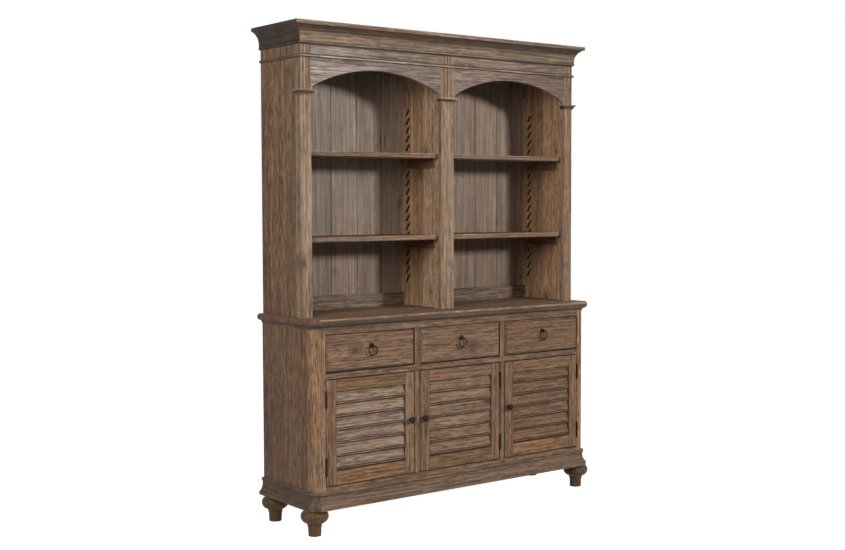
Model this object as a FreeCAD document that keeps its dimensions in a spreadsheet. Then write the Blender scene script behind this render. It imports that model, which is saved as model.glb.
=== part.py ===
# Dresser with hutch: a base cabinet of drawers over louvred doors, under an open bookcase with arched bays.
# Millimetres, +Z up. The front faces -Y, and the origin is on the floor under the middle of the counter.
import FreeCAD
import Part
import Sketcher

import math
import os
from types import SimpleNamespace

# Driving dimensions: the cells of the sheet, in millimetres, degrees or counts.
SIZES = (
    # Base case
    ("base_width", "1548"),
    ("base_depth", "420"),
    ("case_cant", "25"),
    ("post_flat", "28"),
    ("post_side", "60"),
    ("frame_thickness", "22"),
    ("side_thickness", "22"),
    ("stile_width", "27"),
    ("bottom_thickness", "18"),
    ("bottom_lip", "2"),
    ("back_thickness", "8"),
    ("back_recess", "2"),
    ("partition_thickness", "18"),
    # Heights of the base, from the floor up
    ("foot_height", "111"),
    ("plinth_height", "75"),
    ("bottom_rail_reveal", "19"),
    ("door_opening", "450"),
    ("mid_rail_height", "25"),
    ("drawer_opening", "161"),
    ("top_rail_height", "39"),
    ("counter_thickness", "27"),
    # Counter and the cove under it
    ("counter_side_overhang", "26"),
    ("counter_front_overhang", "28"),
    ("counter_nose", "12"),
    ("cove_height", "17"),
    ("cove_projection", "15"),
    ("cove_fillet", "2"),
    ("cove_radius", "14"),
    # Plinth moulding
    ("plinth_projection", "25"),
    ("plinth_fillet", "14"),
    ("plinth_step", "3"),
    ("plinth_neck", "7"),
    ("plinth_bead", "18"),
    ("plinth_cove_radius", "52"),
    # Turned feet
    ("foot_side_inset", "21"),
    ("foot_front_inset", "40"),
    ("foot_back_inset", "60"),
    ("foot_radius", "59"),
    ("foot_waist_height", "56"),
    ("foot_waist_radius", "40"),
    ("foot_widest_height", "84"),
    ("foot_neck_radius", "46"),
    ("foot_neck_height", "6"),
    ("foot_toe_radius", "27"),
    ("foot_stub_radius", "29"),
    ("foot_stub_height", "40"),
    ("foot_ring_radius", "31"),
    ("foot_ring_height", "6"),
    ("foot_cove_radius", "14"),
    ("foot_block", "60"),
    # Drawers
    ("drawer_gap", "2.5"),
    ("drawer_front_thickness", "22"),
    ("drawer_proud", "3"),
    ("drawer_bevel", "8"),
    ("drawer_side_gap", "4"),
    ("drawer_side_height", "118"),
    ("drawer_side_thickness", "12"),
    ("drawer_bottom_thickness", "6"),
    ("drawer_bottom_drop", "8"),
    ("drawer_length", "340"),
    ("drawer_lift", "4"),
    ("runner_clearance", "0.3"),
    ("runner_height", "20"),
    ("runner_ledge", "16"),
    ("runner_guide_height", "18"),
    ("runner_guide_gap", "1.5"),
    # Drawer pulls
    ("pull_rise", "22"),
    ("pull_standoff", "13"),
    ("rosette_radius", "12"),
    ("rosette_thickness", "3"),
    ("pull_stem_radius", "3.4"),
    ("eye_radius", "6.4"),
    ("eye_bore_radius", "3.1"),
    ("eye_thickness", "5"),
    ("ring_radius", "21"),
    ("ring_wire_radius", "2.5"),
    # Doors
    ("door_gap", "3"),
    ("door_thickness", "24"),
    ("door_stile", "50"),
    ("door_top_rail", "52"),
    ("door_bottom_rail", "60"),
    ("slat_count", "6"),
    ("slat_thickness", "8"),
    ("slat_recess", "2"),
    ("slat_lean", "8.5"),
    ("slat_band", "10"),
    ("slat_band_inset", "5"),
    ("slat_band_radius", "10"),
    ("slat_quirk", "3"),
    ("slat_quirk_depth", "3.5"),
    ("knob_edge", "21"),
    ("knob_rise", "12"),
    ("knob_radius", "15"),
    ("knob_length", "28"),
    ("knob_head", "17"),
    ("knob_dome", "9"),
    ("knob_neck_radius", "5"),
    ("knob_base_radius", "8"),
    ("knob_base_thickness", "2.5"),
    # Butt hinges
    ("hinge_height", "64"),
    ("hinge_edge", "80"),
    ("hinge_barrel_radius", "4"),
    ("hinge_barrel_gap", "0.2"),
    ("hinge_leaf_thickness", "1.2"),
    ("hinge_leaf_depth", "18"),
    ("hinge_leaf_clearance", "0.4"),
    ("hinge_knuckle_gap", "0.4"),
    ("hinge_pin_radius", "1.5"),
    ("hinge_pin_clearance", "0.05"),
    # Hutch case
    ("hutch_width", "1540"),
    ("hutch_depth", "326"),
    ("hutch_side_thickness", "22"),
    ("hutch_partition_thickness", "24"),
    ("hutch_top_thickness", "20"),
    ("hutch_back_thickness", "12"),
    ("hutch_back_recess", "2"),
    ("hutch_post_width", "49"),
    ("hutch_post_depth", "45"),
    ("hutch_post_thickness", "24"),
    ("centre_post_width", "70"),
    ("plank_width", "140"),
    ("plank_groove", "4"),
    ("back_rail_height", "63"),
    ("back_rail_thickness", "18"),
    # Heights of the hutch, from the counter up
    ("pilaster_height", "926"),
    ("capital_height", "23"),
    ("frieze_height", "187"),
    ("crown_height", "91"),
    ("crown_rise", "22"),
    # Flutes, capitals and arches
    ("flute_radius", "3.2"),
    ("flute_depth", "3"),
    ("flute_spacing", "14"),
    ("centre_flute_spacing", "19"),
    ("capital_projection", "14"),
    ("capital_cove", "11"),
    ("capital_neck", "4"),
    ("capital_neck_height", "4"),
    ("capital_fillet_height", "7"),
    ("arch_rise", "96"),
    ("arch_end_radius", "22"),
    ("arch_foot", "5"),
    # Astragal and crown
    ("frieze_band", "43"),
    ("astragal_height", "12"),
    ("astragal_fillet", "2"),
    ("crown_projection", "45"),
    ("crown_bead", "13"),
    ("crown_bead_seat", "3"),
    ("crown_neck", "8"),
    ("crown_neck_height", "9"),
    ("crown_fillet", "16"),
    ("crown_lip", "6"),
    ("crown_cove_radius", "57"),
    # Sawtooth shelf supports and shelves
    ("strip_thickness", "15"),
    ("strip_width", "48"),
    ("strip_height", "1000"),
    ("notch_first", "108.6"),
    ("notch_pitch", "40.6"),
    ("notch_count", "20"),
    ("notch_depth", "20"),
    ("notch_height", "31"),
    ("cleat_height", "41"),
    ("cleat_thickness", "13"),
    ("cleat_clearance", "0.5"),
    ("lower_shelf_notch", "4"),
    ("upper_shelf_notch", "13"),
    ("shelf_thickness", "21"),
    ("shelf_front_gap", "4"),
    ("shelf_back_gap", "2"),
    ("shelf_end_gap", "1"),
    ("shelf_notch_gap", "1.5"),
    ("shelf_nose", "5"),
)

# Tangents of the mitre angles at a square end, a right-angled corner and the end of a 45 degree cant.
SQUARE_END = 0.0
MITRE_CORNER = 1.0
MITRE_CANT = math.sqrt(2.0) - 1.0

# How far a cutting outline runs past the solid that it cuts.
CUT_SPARE = 2.0

# Knuckles of one butt hinge: three on the case leaf and two on the door leaf.
CASE_KNUCKLES = 3
DOOR_KNUCKLES = 2
KNUCKLES = CASE_KNUCKLES + DOOR_KNUCKLES

LEFT = -1
RIGHT = 1
X_AXIS = FreeCAD.Vector(1, 0, 0)
Z_AXIS = FreeCAD.Vector(0, 0, 1)


class Size:
    """A length with its value in millimetres and the sheet expression that drives it."""

    def __init__(self, value, text):
        self.value = float(value)
        self.text = text

    def __add__(self, other):
        other = as_size(other)
        return Size(self.value + other.value, f"({self.text} + {other.text})")

    def __radd__(self, other):
        return as_size(other) + self

    def __sub__(self, other):
        other = as_size(other)
        return Size(self.value - other.value, f"({self.text} - {other.text})")

    def __rsub__(self, other):
        return as_size(other) - self

    def __mul__(self, other):
        other = as_size(other)
        return Size(self.value * other.value, f"({self.text} * {other.text})")

    def __rmul__(self, other):
        return as_size(other) * self

    def __truediv__(self, other):
        other = as_size(other)
        return Size(self.value / other.value, f"({self.text} / {other.text})")

    def __neg__(self):
        return 0.0 - self


def as_size(number):
    """Gives a plain number the form of a Size."""
    if isinstance(number, Size):
        return number
    return Size(number, repr(float(number)))


def make_sheet(document):
    """Writes the driving dimensions into the sheet and gives them back by name."""
    sheet = document.addObject("Spreadsheet::Sheet", "Sizes")
    for row, (alias, text) in enumerate(SIZES, start=1):
        sheet.set(f"A{row}", alias)
        sheet.set(f"B{row}", text)
        sheet.setAlias(f"B{row}", alias)
    document.recompute()
    return SimpleNamespace(**{alias: Size(sheet.get(alias), f"Sizes.{alias}") for alias, _ in SIZES})


doc = FreeCAD.newDocument("dresser_with_hutch")
s = make_sheet(doc)
nodes = []

# Planes that many pieces share.
half_base = s.base_width / 2
half_hutch = s.hutch_width / 2
y_back = (s.base_depth + s.counter_front_overhang) / 2
y_front = y_back - s.base_depth
y_frame_back = y_front + s.frame_thickness
y_case_back = y_back - s.back_recess - s.back_thickness
y_hutch = y_back - s.hutch_depth
y_hutch_frame = y_hutch + s.hutch_post_thickness
y_hutch_back = y_back - s.hutch_back_recess - s.hutch_back_thickness

z_plinth = s.foot_height
z_door = z_plinth + s.plinth_height + s.bottom_rail_reveal
z_bottom = z_door - s.bottom_lip
z_mid = z_door + s.door_opening
z_drawer = z_mid + s.mid_rail_height
z_top_rail = z_drawer + s.drawer_opening
z_case = z_top_rail + s.top_rail_height
z_counter = z_case + s.counter_thickness
z_capital = z_counter + s.pilaster_height
z_spring = z_capital + s.capital_height
z_crown = z_spring + s.frieze_height
z_hutch_top = z_crown + s.crown_height - s.crown_rise

post_width = s.post_flat + s.case_cant
bay_width = (s.base_width - 2 * post_width - 2 * s.stile_width) / 3
bay_pitch = bay_width + s.stile_width
x_case_inner = half_base - s.side_thickness
x_hutch_inner = half_hutch - s.hutch_side_thickness


def bind(target, prop, size):
    """Drives a property from the sheet."""
    target.setExpression(prop, as_size(size).text)


def place(target, x, y, z, turn=0.0, axis=Z_AXIS):
    """Puts an object at a point that follows the sheet, turned by a fixed angle."""
    target.Placement = FreeCAD.Placement(FreeCAD.Vector(), FreeCAD.Rotation(axis, turn))
    for name, value in (("x", x), ("y", y), ("z", z)):
        bind(target, f"Placement.Base.{name}", value)


def keep(target):
    """Marks an object as a sub-part whose solids are written out."""
    nodes.append(target)
    return target


def board(label, x, y, z):
    """A plain board between a low and a high plane on each axis."""
    box = doc.addObject("Part::Box", label)
    for prop, (low, high) in (("Length", x), ("Width", y), ("Height", z)):
        bind(box, prop, high - low)
    place(box, x[0], y[0], z[0])
    return box


def group(label, members):
    """A sub-part made of several separate solids."""
    compound = doc.addObject("Part::Compound", label)
    compound.Links = members
    return keep(compound)


def make_body(label):
    """An empty body that may hold separate solids."""
    body = doc.addObject("PartDesign::Body", label)
    body.AllowCompound = True
    return body


def origin_feature(body, role):
    """One of the planes or axes of a body's own origin."""
    return next(feature for feature in body.Origin.OriginFeatures if feature.Role == role)


def sketch_on(body, role, lift=0.0):
    """A sketch on one of the body's own origin planes, lifted along the plane's normal."""
    sketch = body.newObject("Sketcher::SketchObject", "Sketch")
    sketch.AttachmentSupport = [(origin_feature(body, role), "")]
    sketch.MapMode = "FlatFace"
    bind(sketch, "AttachmentOffset.Base.z", lift)
    return sketch


def fix_point(sketch, geometry, point, x, y):
    """Holds a sketch point at its distances from the sketch's origin."""
    for kind, axis, value in (("DistanceX", -2, x), ("DistanceY", -1, y)):
        if not isinstance(value, Size) and value == 0:
            sketch.addConstraint(Sketcher.Constraint("PointOnObject", geometry, point, axis))
            continue
        size = as_size(value)
        index = sketch.addConstraint(Sketcher.Constraint(kind, -1, 1, geometry, point, size.value))
        bind(sketch, f"Constraints[{index}]", size)


def fix_radius(sketch, geometry, radius):
    """Holds the radius of an arc or a circle."""
    index = sketch.addConstraint(Sketcher.Constraint("Radius", geometry, radius.value))
    bind(sketch, f"Constraints[{index}]", radius)


def arc_between(start, end, radius, leftward):
    """The shorter arc from start to end, turning left or right on the way."""
    chord = end - start
    height = math.sqrt(max(radius**2 - chord.Length**2 / 4, 0.0))
    normal = FreeCAD.Vector(-chord.y, chord.x, 0) / chord.Length
    centre = (start + end) / 2 + normal * (height if leftward else -height)
    first, last = (start, end) if leftward else (end, start)
    angles = [math.atan2(point.y - centre.y, point.x - centre.x) for point in (first, last)]
    return Part.ArcOfCircle(Part.Circle(centre, Z_AXIS, radius), angles[0], angles[1])


def trace(sketch, corners):
    """Draws a closed outline.

    Each corner is (x, y), or (x, y, radius, "left" or "right") where an arc turning that way leads on from it.
    """
    points = [FreeCAD.Vector(as_size(corner[0]).value, as_size(corner[1]).value) for corner in corners]
    runs = []
    for number, corner in enumerate(corners):
        start = points[number]
        end = points[(number + 1) % len(points)]
        if len(corner) == 2:
            runs.append((sketch.addGeometry(Part.LineSegment(start, end), False), 1, 2))
            continue
        leftward = corner[3] == "left"
        curve = sketch.addGeometry(arc_between(start, end, corner[2].value, leftward), False)
        runs.append((curve, 1, 2) if leftward else (curve, 2, 1))
    for number, (curve, _, last) in enumerate(runs):
        onward = runs[(number + 1) % len(runs)]
        sketch.addConstraint(Sketcher.Constraint("Coincident", curve, last, onward[0], onward[1]))
    for corner, (curve, first, _) in zip(corners, runs):
        fix_point(sketch, curve, first, corner[0], corner[1])
        if len(corner) > 2:
            fix_radius(sketch, curve, corner[2])
    return sketch


def trace_circle(sketch, x, y, radius):
    """Draws a circle about a fixed point."""
    centre = FreeCAD.Vector(as_size(x).value, as_size(y).value, 0)
    circle = sketch.addGeometry(Part.Circle(centre, Z_AXIS, radius.value), False)
    fix_point(sketch, circle, 3, x, y)
    fix_radius(sketch, circle, radius)
    return sketch


def pad(body, sketch, length, side="One side"):
    """Adds the sketch's outline as a prism along the sketch's normal."""
    feature = body.newObject("PartDesign::Pad", "Pad")
    feature.Profile = sketch
    feature.SideType = side
    bind(feature, "Length", length)
    return feature


def pocket_along(body, sketch, depth=None):
    """Cuts the sketch's outline along the sketch's normal, through everything where no depth is given."""
    feature = body.newObject("PartDesign::Pocket", "Pocket")
    feature.Profile = sketch
    feature.Reversed = True
    if depth is None:
        feature.Type = "ThroughAll"
    else:
        bind(feature, "Length", depth)
    return feature


def repeat(body, features, role, spacing, count):
    """Repeats features in a row along one of the body's own axes."""
    pattern = body.newObject("PartDesign::LinearPattern", "Pattern")
    pattern.Originals = features
    pattern.Direction = (origin_feature(body, role), [""])
    pattern.Mode = "Spacing"
    bind(pattern, "Offset", spacing)
    bind(pattern, "Occurrences", count)
    body.Tip = pattern
    return pattern


def revolve(body, sketch):
    """Turns the sketch's outline about its vertical axis."""
    feature = body.newObject("PartDesign::Revolution", "Revolution")
    feature.Profile = sketch
    feature.ReferenceAxis = (sketch, ["V_Axis"])
    feature.Angle = 360
    return feature


def round_edges(body, feature, radius, wanted):
    """Rounds the edges of a feature that pass a test."""
    doc.recompute()
    edges = enumerate(feature.Shape.Edges, start=1)
    names = [f"Edge{number}" for number, edge in edges if wanted(edge.BoundBox)]
    fillet = body.newObject("PartDesign::Fillet", "Fillet")
    fillet.Base = (feature, names)
    bind(fillet, "Radius", radius)
    return fillet


def moulding(label, outline, projection, length, mitres, at, turn):
    """A run of moulding on a wall, with its ends mitred.

    The outline is drawn outwards from the wall and up. The length is measured on the wall, and the mitres are
    the tangents at the run's start and end. Unturned, the run goes along +X and stands out towards +Y.
    """
    body = make_body(label)
    start, end = (projection * mitre for mitre in mitres)
    pad(body, trace(sketch_on(body, "YZ_Plane", -start), outline), length + start + end)
    outer = projection + CUT_SPARE
    cuts = sketch_on(body, "XY_Plane")
    for mitre, wall, way in ((mitres[0], 0.0, -1), (mitres[1], length, 1)):
        if mitre == SQUARE_END:
            continue
        near = wall - way * CUT_SPARE * mitre
        far = wall + way * outer * mitre
        past = far + way * CUT_SPARE
        trace(cuts, [(near, -CUT_SPARE), (far, outer), (past, outer), (past, -CUT_SPARE)])
    pocket_along(body, cuts)
    place(body, *at, turn=turn)
    return body


def bead(x, low, height):
    """The corners of a half-round bead that starts at a height on a moulding's outline."""
    radius = height / 2
    return [(x, low, radius, "left"), (x + radius, low + radius, radius, "left")]


def canted_mouldings(label, outline, projection, z):
    """Mouldings along the sides, the cants and the front of the base."""
    cant_length = s.case_cant * math.sqrt(2.0)
    side_length = s.base_depth - s.case_cant
    x_cant = half_base - s.case_cant
    y_cant = y_front + s.case_cant
    runs = (
        ("left_side", side_length, (MITRE_CANT, SQUARE_END), (-half_base, y_cant, z), 90),
        ("left_cant", cant_length, (MITRE_CANT, MITRE_CANT), (-x_cant, y_front, z), 135),
        ("front", 2 * x_cant, (MITRE_CANT, MITRE_CANT), (x_cant, y_front, z), 180),
        ("right_cant", cant_length, (MITRE_CANT, MITRE_CANT), (half_base, y_cant, z), 225),
        ("right_side", side_length, (SQUARE_END, MITRE_CANT), (half_base, y_back, z), 270),
    )
    pieces = [moulding(f"{label}_{name}", outline, projection, *rest) for name, *rest in runs]
    return group(label, pieces)


def hutch_mouldings(label, outline, projection, z):
    """Mouldings along the sides and the front of the hutch, mitred at its square corners."""
    runs = (
        ("left", s.hutch_depth, (MITRE_CORNER, SQUARE_END), (-half_hutch, y_hutch, z), 90),
        ("front", s.hutch_width, (MITRE_CORNER, MITRE_CORNER), (half_hutch, y_hutch, z), 180),
        ("right", s.hutch_depth, (SQUARE_END, MITRE_CORNER), (half_hutch, y_back, z), 270),
    )
    pieces = [moulding(f"{label}_{name}", outline, projection, *rest) for name, *rest in runs]
    return group(label, pieces)


def make_countertop():
    """The counter: a slab with clipped front corners and a bullnose on every edge but the back."""
    half = half_base + s.counter_side_overhang
    front = y_front - s.counter_front_overhang
    clip = s.case_cant + s.counter_side_overhang * (2.0 - math.sqrt(2.0))
    body = make_body("countertop")
    outline = [
        (-half, y_back),
        (-half, front + clip),
        (-half + clip, front),
        (half - clip, front),
        (half, front + clip),
        (half, y_back),
    ]
    slab = pad(body, trace(sketch_on(body, "XY_Plane"), outline), s.counter_thickness)
    round_edges(
        body,
        slab,
        s.counter_nose,
        lambda box: box.ZLength < 0.01 and box.YMin < y_back.value - 0.01,
    )
    place(body, 0, 0, z_case)
    keep(body)


def make_counter_cove():
    """The cove moulding under the counter's overhang."""
    outline = [
        (0, 0),
        (s.cove_fillet, 0),
        (s.cove_fillet, s.cove_fillet, s.cove_radius, "right"),
        (s.cove_projection, s.cove_height - s.cove_fillet),
        (s.cove_projection, s.cove_height),
        (0, s.cove_height),
    ]
    canted_mouldings("counter_cove", outline, s.cove_projection, z_case - s.cove_height)


def make_plinth():
    """The plinth moulding: a flared cove between a square bottom edge and a bead."""
    bead_low = s.plinth_height - s.plinth_bead
    outline = [
        (0, 0),
        (s.plinth_projection, 0),
        (s.plinth_projection, s.plinth_fillet),
        (s.plinth_projection - s.plinth_step, s.plinth_fillet, s.plinth_cove_radius, "right"),
        (s.plinth_neck, bead_low - s.plinth_step),
        (s.plinth_neck, bead_low),
        *bead(s.plinth_step, bead_low, s.plinth_bead),
        (s.plinth_step, s.plinth_height),
        (0, s.plinth_height),
    ]
    canted_mouldings("plinth_moulding", outline, s.plinth_projection, z_plinth)


def make_base_case():
    """Side panels, posts, rails, stiles, partitions, bottom and back of the base."""
    for side, name in ((LEFT, "left"), (RIGHT, "right")):
        outer = side * half_base
        inner = side * x_case_inner
        x = (outer, inner) if side == LEFT else (inner, outer)
        keep(board(f"base_{name}_side", x, (y_front + s.post_side, y_back), (z_plinth, z_case)))

    posts = []
    for side, name in ((LEFT, "left"), (RIGHT, "right")):
        body = make_body(f"base_{name}_post")
        outline = [
            (0, s.case_cant),
            (-side * s.case_cant, 0),
            (-side * post_width, 0),
            (-side * post_width, s.post_side),
            (0, s.post_side),
        ]
        pad(body, trace(sketch_on(body, "XY_Plane"), outline), z_case - z_plinth)
        place(body, side * half_base, y_front, z_plinth)
        posts.append(body)
    group("base_corner_posts", posts)

    across = (post_width - half_base, half_base - post_width)
    face = (y_front, y_frame_back)
    keep(board("top_rail", across, face, (z_top_rail, z_case)))
    keep(board("middle_rail", across, face, (z_mid, z_drawer)))
    keep(board("bottom_rail", across, face, (z_plinth, z_door)))

    stiles = []
    partitions = []
    for side, name in ((LEFT, "left"), (RIGHT, "right")):
        middle = side * bay_pitch / 2
        x = (middle - s.stile_width / 2, middle + s.stile_width / 2)
        stiles.append(board(f"{name}_drawer_stile", x, face, (z_drawer, z_top_rail)))
        stiles.append(board(f"{name}_door_stile", x, face, (z_door, z_mid)))
        x = (middle - s.partition_thickness / 2, middle + s.partition_thickness / 2)
        partitions.append(board(f"{name}_partition", x, (y_frame_back, y_case_back), (z_bottom, z_case)))
    group("face_stiles", stiles)
    group("base_partitions", partitions)

    body = make_body("base_bottom")
    notch_x = half_base - post_width
    notch_y = y_front + s.post_side
    outline = [
        (-notch_x, y_frame_back),
        (notch_x, y_frame_back),
        (notch_x, notch_y),
        (x_case_inner, notch_y),
        (x_case_inner, y_case_back),
        (-x_case_inner, y_case_back),
        (-x_case_inner, notch_y),
        (-notch_x, notch_y),
    ]
    pad(body, trace(sketch_on(body, "XY_Plane"), outline), s.bottom_thickness)
    place(body, 0, 0, z_bottom - s.bottom_thickness)
    keep(body)

    panel = (y_case_back, y_case_back + s.back_thickness)
    keep(board("base_back", (-x_case_inner, x_case_inner), panel, (z_bottom - s.bottom_thickness, z_case)))


def upright_arc(inset, rise):
    """The radius of an arc that stands upright at its outer end and moves in by the inset over the rise."""
    return (inset * inset + rise * rise) / (2 * inset)


def make_feet():
    """Four turned feet and the glue blocks inside the plinth above them."""
    neck_low = s.foot_height - s.foot_neck_height
    ring_top = s.foot_stub_height + s.foot_ring_height
    lower_arc = upright_arc(s.foot_radius - s.foot_waist_radius, s.foot_widest_height - s.foot_waist_height)
    upper_arc = upright_arc(s.foot_radius - s.foot_neck_radius, neck_low - s.foot_widest_height)
    outline = [
        (0, 0),
        (s.foot_toe_radius, 0),
        (s.foot_stub_radius, s.foot_stub_height),
        (s.foot_ring_radius, s.foot_stub_height),
        (s.foot_ring_radius, ring_top, s.foot_cove_radius, "right"),
        (s.foot_waist_radius, s.foot_waist_height, lower_arc, "left"),
        (s.foot_radius, s.foot_widest_height, upper_arc, "left"),
        (s.foot_neck_radius, neck_low),
        (s.foot_neck_radius, s.foot_height),
        (0, s.foot_height),
    ]
    x_foot = half_base - s.foot_side_inset
    rows = (
        ("front", y_front + s.foot_front_inset, y_front + s.post_side),
        ("back", y_back - s.foot_back_inset, y_back - s.foot_back_inset - s.foot_block / 2),
    )
    feet = []
    blocks = []
    for row, y_foot, y_block in rows:
        for side, name in ((LEFT, "left"), (RIGHT, "right")):
            body = make_body(f"{row}_{name}_foot")
            revolve(body, trace(sketch_on(body, "XZ_Plane"), outline))
            place(body, side * x_foot, y_foot, 0)
            feet.append(body)
            near = x_case_inner - s.foot_block
            x = (-x_case_inner, -near) if side == LEFT else (near, x_case_inner)
            y = (y_block, y_block + s.foot_block)
            blocks.append(board(f"{row}_{name}_block", x, y, (z_plinth, z_bottom - s.bottom_thickness)))
    group("feet", feet)
    group("foot_blocks", blocks)


# The three bays of the base: name, place counted from the middle, and the side that the door is hinged on.
BAYS = (("left", -1, LEFT), ("middle", 0, RIGHT), ("right", 1, RIGHT))

z_runner = z_drawer + s.drawer_lift - s.runner_clearance
drawer_half = bay_width / 2 - s.drawer_side_gap


def make_runners():
    """A ledge under each drawer side, with a guide that keeps the drawer straight."""
    runners = []
    for name, place_number, _ in BAYS:
        middle = place_number * bay_pitch
        for side in (LEFT, RIGHT):
            outside = place_number == side
            if outside:
                wall = side * x_case_inner
            else:
                wall = middle + side * (bay_pitch - s.partition_thickness) / 2
            ledge = middle + side * (drawer_half - s.runner_ledge)
            guide = middle + side * (drawer_half + s.runner_guide_gap)
            first = y_front + s.post_side if outside else y_frame_back
            body = make_body(f"{name}_runner_{'left' if side == LEFT else 'right'}")
            outline = [
                (wall, -s.runner_height),
                (ledge, -s.runner_height),
                (ledge, 0),
                (guide, 0),
                (guide, s.runner_guide_height),
                (wall, s.runner_guide_height),
            ]
            pad(body, trace(sketch_on(body, "XZ_Plane"), outline), y_case_back - first)
            place(body, 0, y_case_back, z_runner)
            runners.append(body)
    group("drawer_runners", runners)


def make_drawer(name, place_number):
    """One drawer: bevelled front, box, pull and ring."""
    middle = place_number * bay_pitch
    half = bay_width / 2 - s.drawer_gap
    y_face = y_front - s.drawer_proud
    y_box = y_face + s.drawer_front_thickness
    z_low = z_drawer + s.drawer_gap
    height = s.drawer_opening - 2 * s.drawer_gap

    body = make_body(f"{name}_drawer_front")
    outline = [(-half, 0), (half, 0), (half, height), (-half, height)]
    slab = pad(body, trace(sketch_on(body, "XZ_Plane"), outline), s.drawer_front_thickness)
    doc.recompute()
    face = next(
        number
        for number, side in enumerate(slab.Shape.Faces, start=1)
        if side.BoundBox.YMax < 0.01 - s.drawer_front_thickness.value
    )
    bevel = body.newObject("PartDesign::Chamfer", "Bevel")
    bevel.Base = (slab, [f"Face{face}"])
    bind(bevel, "Size", s.drawer_bevel)
    place(body, middle, y_box, z_low)
    keep(body)

    z_box = z_drawer + s.drawer_lift
    z_top = z_box + s.drawer_side_height
    z_floor = z_box + s.drawer_bottom_drop
    inner = drawer_half - s.drawer_side_thickness
    y_end = y_box + s.drawer_length
    length = (y_box, y_end)
    between = (middle - inner, middle + inner)
    back = (y_end - s.drawer_side_thickness, y_end)
    z_inside = z_floor + s.drawer_bottom_thickness
    box = [
        board(f"{name}_drawer_left_side", (middle - drawer_half, middle - inner), length, (z_box, z_top)),
        board(f"{name}_drawer_right_side", (middle + inner, middle + drawer_half), length, (z_box, z_top)),
        board(f"{name}_drawer_back", between, back, (z_inside, z_top)),
        board(f"{name}_drawer_bottom", between, length, (z_floor, z_inside)),
    ]
    group(f"{name}_drawer_box", box)

    z_eye = z_low + height / 2 + s.pull_rise
    body = make_body(f"{name}_drawer_pull")
    stem_end = s.pull_standoff - (s.eye_radius + s.eye_bore_radius) / 2
    outline = [
        (0, 0),
        (s.rosette_radius, 0),
        (s.rosette_radius, s.rosette_thickness / 2),
        (s.rosette_radius - s.rosette_thickness, s.rosette_thickness),
        (s.pull_stem_radius, s.rosette_thickness),
        (s.pull_stem_radius, stem_end),
        (0, stem_end),
    ]
    revolve(body, trace(sketch_on(body, "XZ_Plane"), outline))
    eye = sketch_on(body, "YZ_Plane")
    trace_circle(eye, 0, s.pull_standoff, s.eye_radius)
    trace_circle(eye, 0, s.pull_standoff, s.eye_bore_radius)
    pad(body, eye, s.eye_thickness, "Symmetric")
    place(body, middle, y_face, z_eye, 90, X_AXIS)
    keep(body)

    ring = doc.addObject("Part::Torus", f"{name}_pull_ring")
    bind(ring, "Radius1", s.ring_radius)
    bind(ring, "Radius2", s.ring_wire_radius)
    place(ring, middle, y_face - s.pull_standoff, z_eye - s.ring_radius, 90, X_AXIS)
    keep(ring)


door_half = bay_width / 2 - s.door_gap
door_low = z_door + s.door_gap
door_high = z_mid - s.door_gap
knuckle_height = (s.hinge_height - (KNUCKLES - 1) * s.hinge_knuckle_gap) / KNUCKLES
knuckle_pitch = knuckle_height + s.hinge_knuckle_gap
hinge_offset = s.hinge_barrel_radius + s.hinge_barrel_gap


def make_knob(label, x, z):
    """A turned knob on a small base."""
    body = make_body(label)
    head = s.knob_length - s.knob_head
    rim = s.knob_length - s.knob_dome
    crown = upright_arc(s.knob_dome, s.knob_radius)
    outline = [
        (0, 0),
        (s.knob_base_radius, 0),
        (s.knob_base_radius, s.knob_base_thickness),
        (s.knob_neck_radius, s.knob_base_thickness * 2),
        (s.knob_neck_radius, head),
        (s.knob_radius, rim, crown, "left"),
        (0, s.knob_length),
    ]
    revolve(body, trace(sketch_on(body, "XZ_Plane"), outline))
    place(body, x, y_front, z, 90, X_AXIS)
    return keep(body)


def make_leaf(label, side, knuckles, first, at):
    """One leaf of a butt hinge, standing to the given side of the pin, with its knuckles."""
    body = make_body(label)
    gap_half = s.door_gap / 2
    edge = side * gap_half
    face = side * (gap_half - s.hinge_leaf_thickness)
    clear = hinge_offset + s.hinge_leaf_clearance
    rear = hinge_offset + s.hinge_leaf_depth
    plate = [(edge, clear), (face, clear), (face, rear), (edge, rear)]
    pad(body, trace(sketch_on(body, "XY_Plane"), plate), s.hinge_height)

    lift = first * knuckle_pitch
    barrel = sketch_on(body, "XY_Plane", lift)
    trace_circle(barrel, 0, 0, s.hinge_barrel_radius)
    trace_circle(barrel, 0, 0, s.hinge_pin_radius + s.hinge_pin_clearance)
    knuckle = pad(body, barrel, knuckle_height)
    root = (s.hinge_barrel_radius + s.hinge_pin_radius) / 2
    web = [(edge, root), (face, root), (face, clear), (edge, clear)]
    web_pad = pad(body, trace(sketch_on(body, "XY_Plane", lift), web), knuckle_height)
    repeat(body, [knuckle, web_pad], "Z_Axis", 2 * knuckle_pitch, knuckles)
    place(body, *at)
    return body


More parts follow.
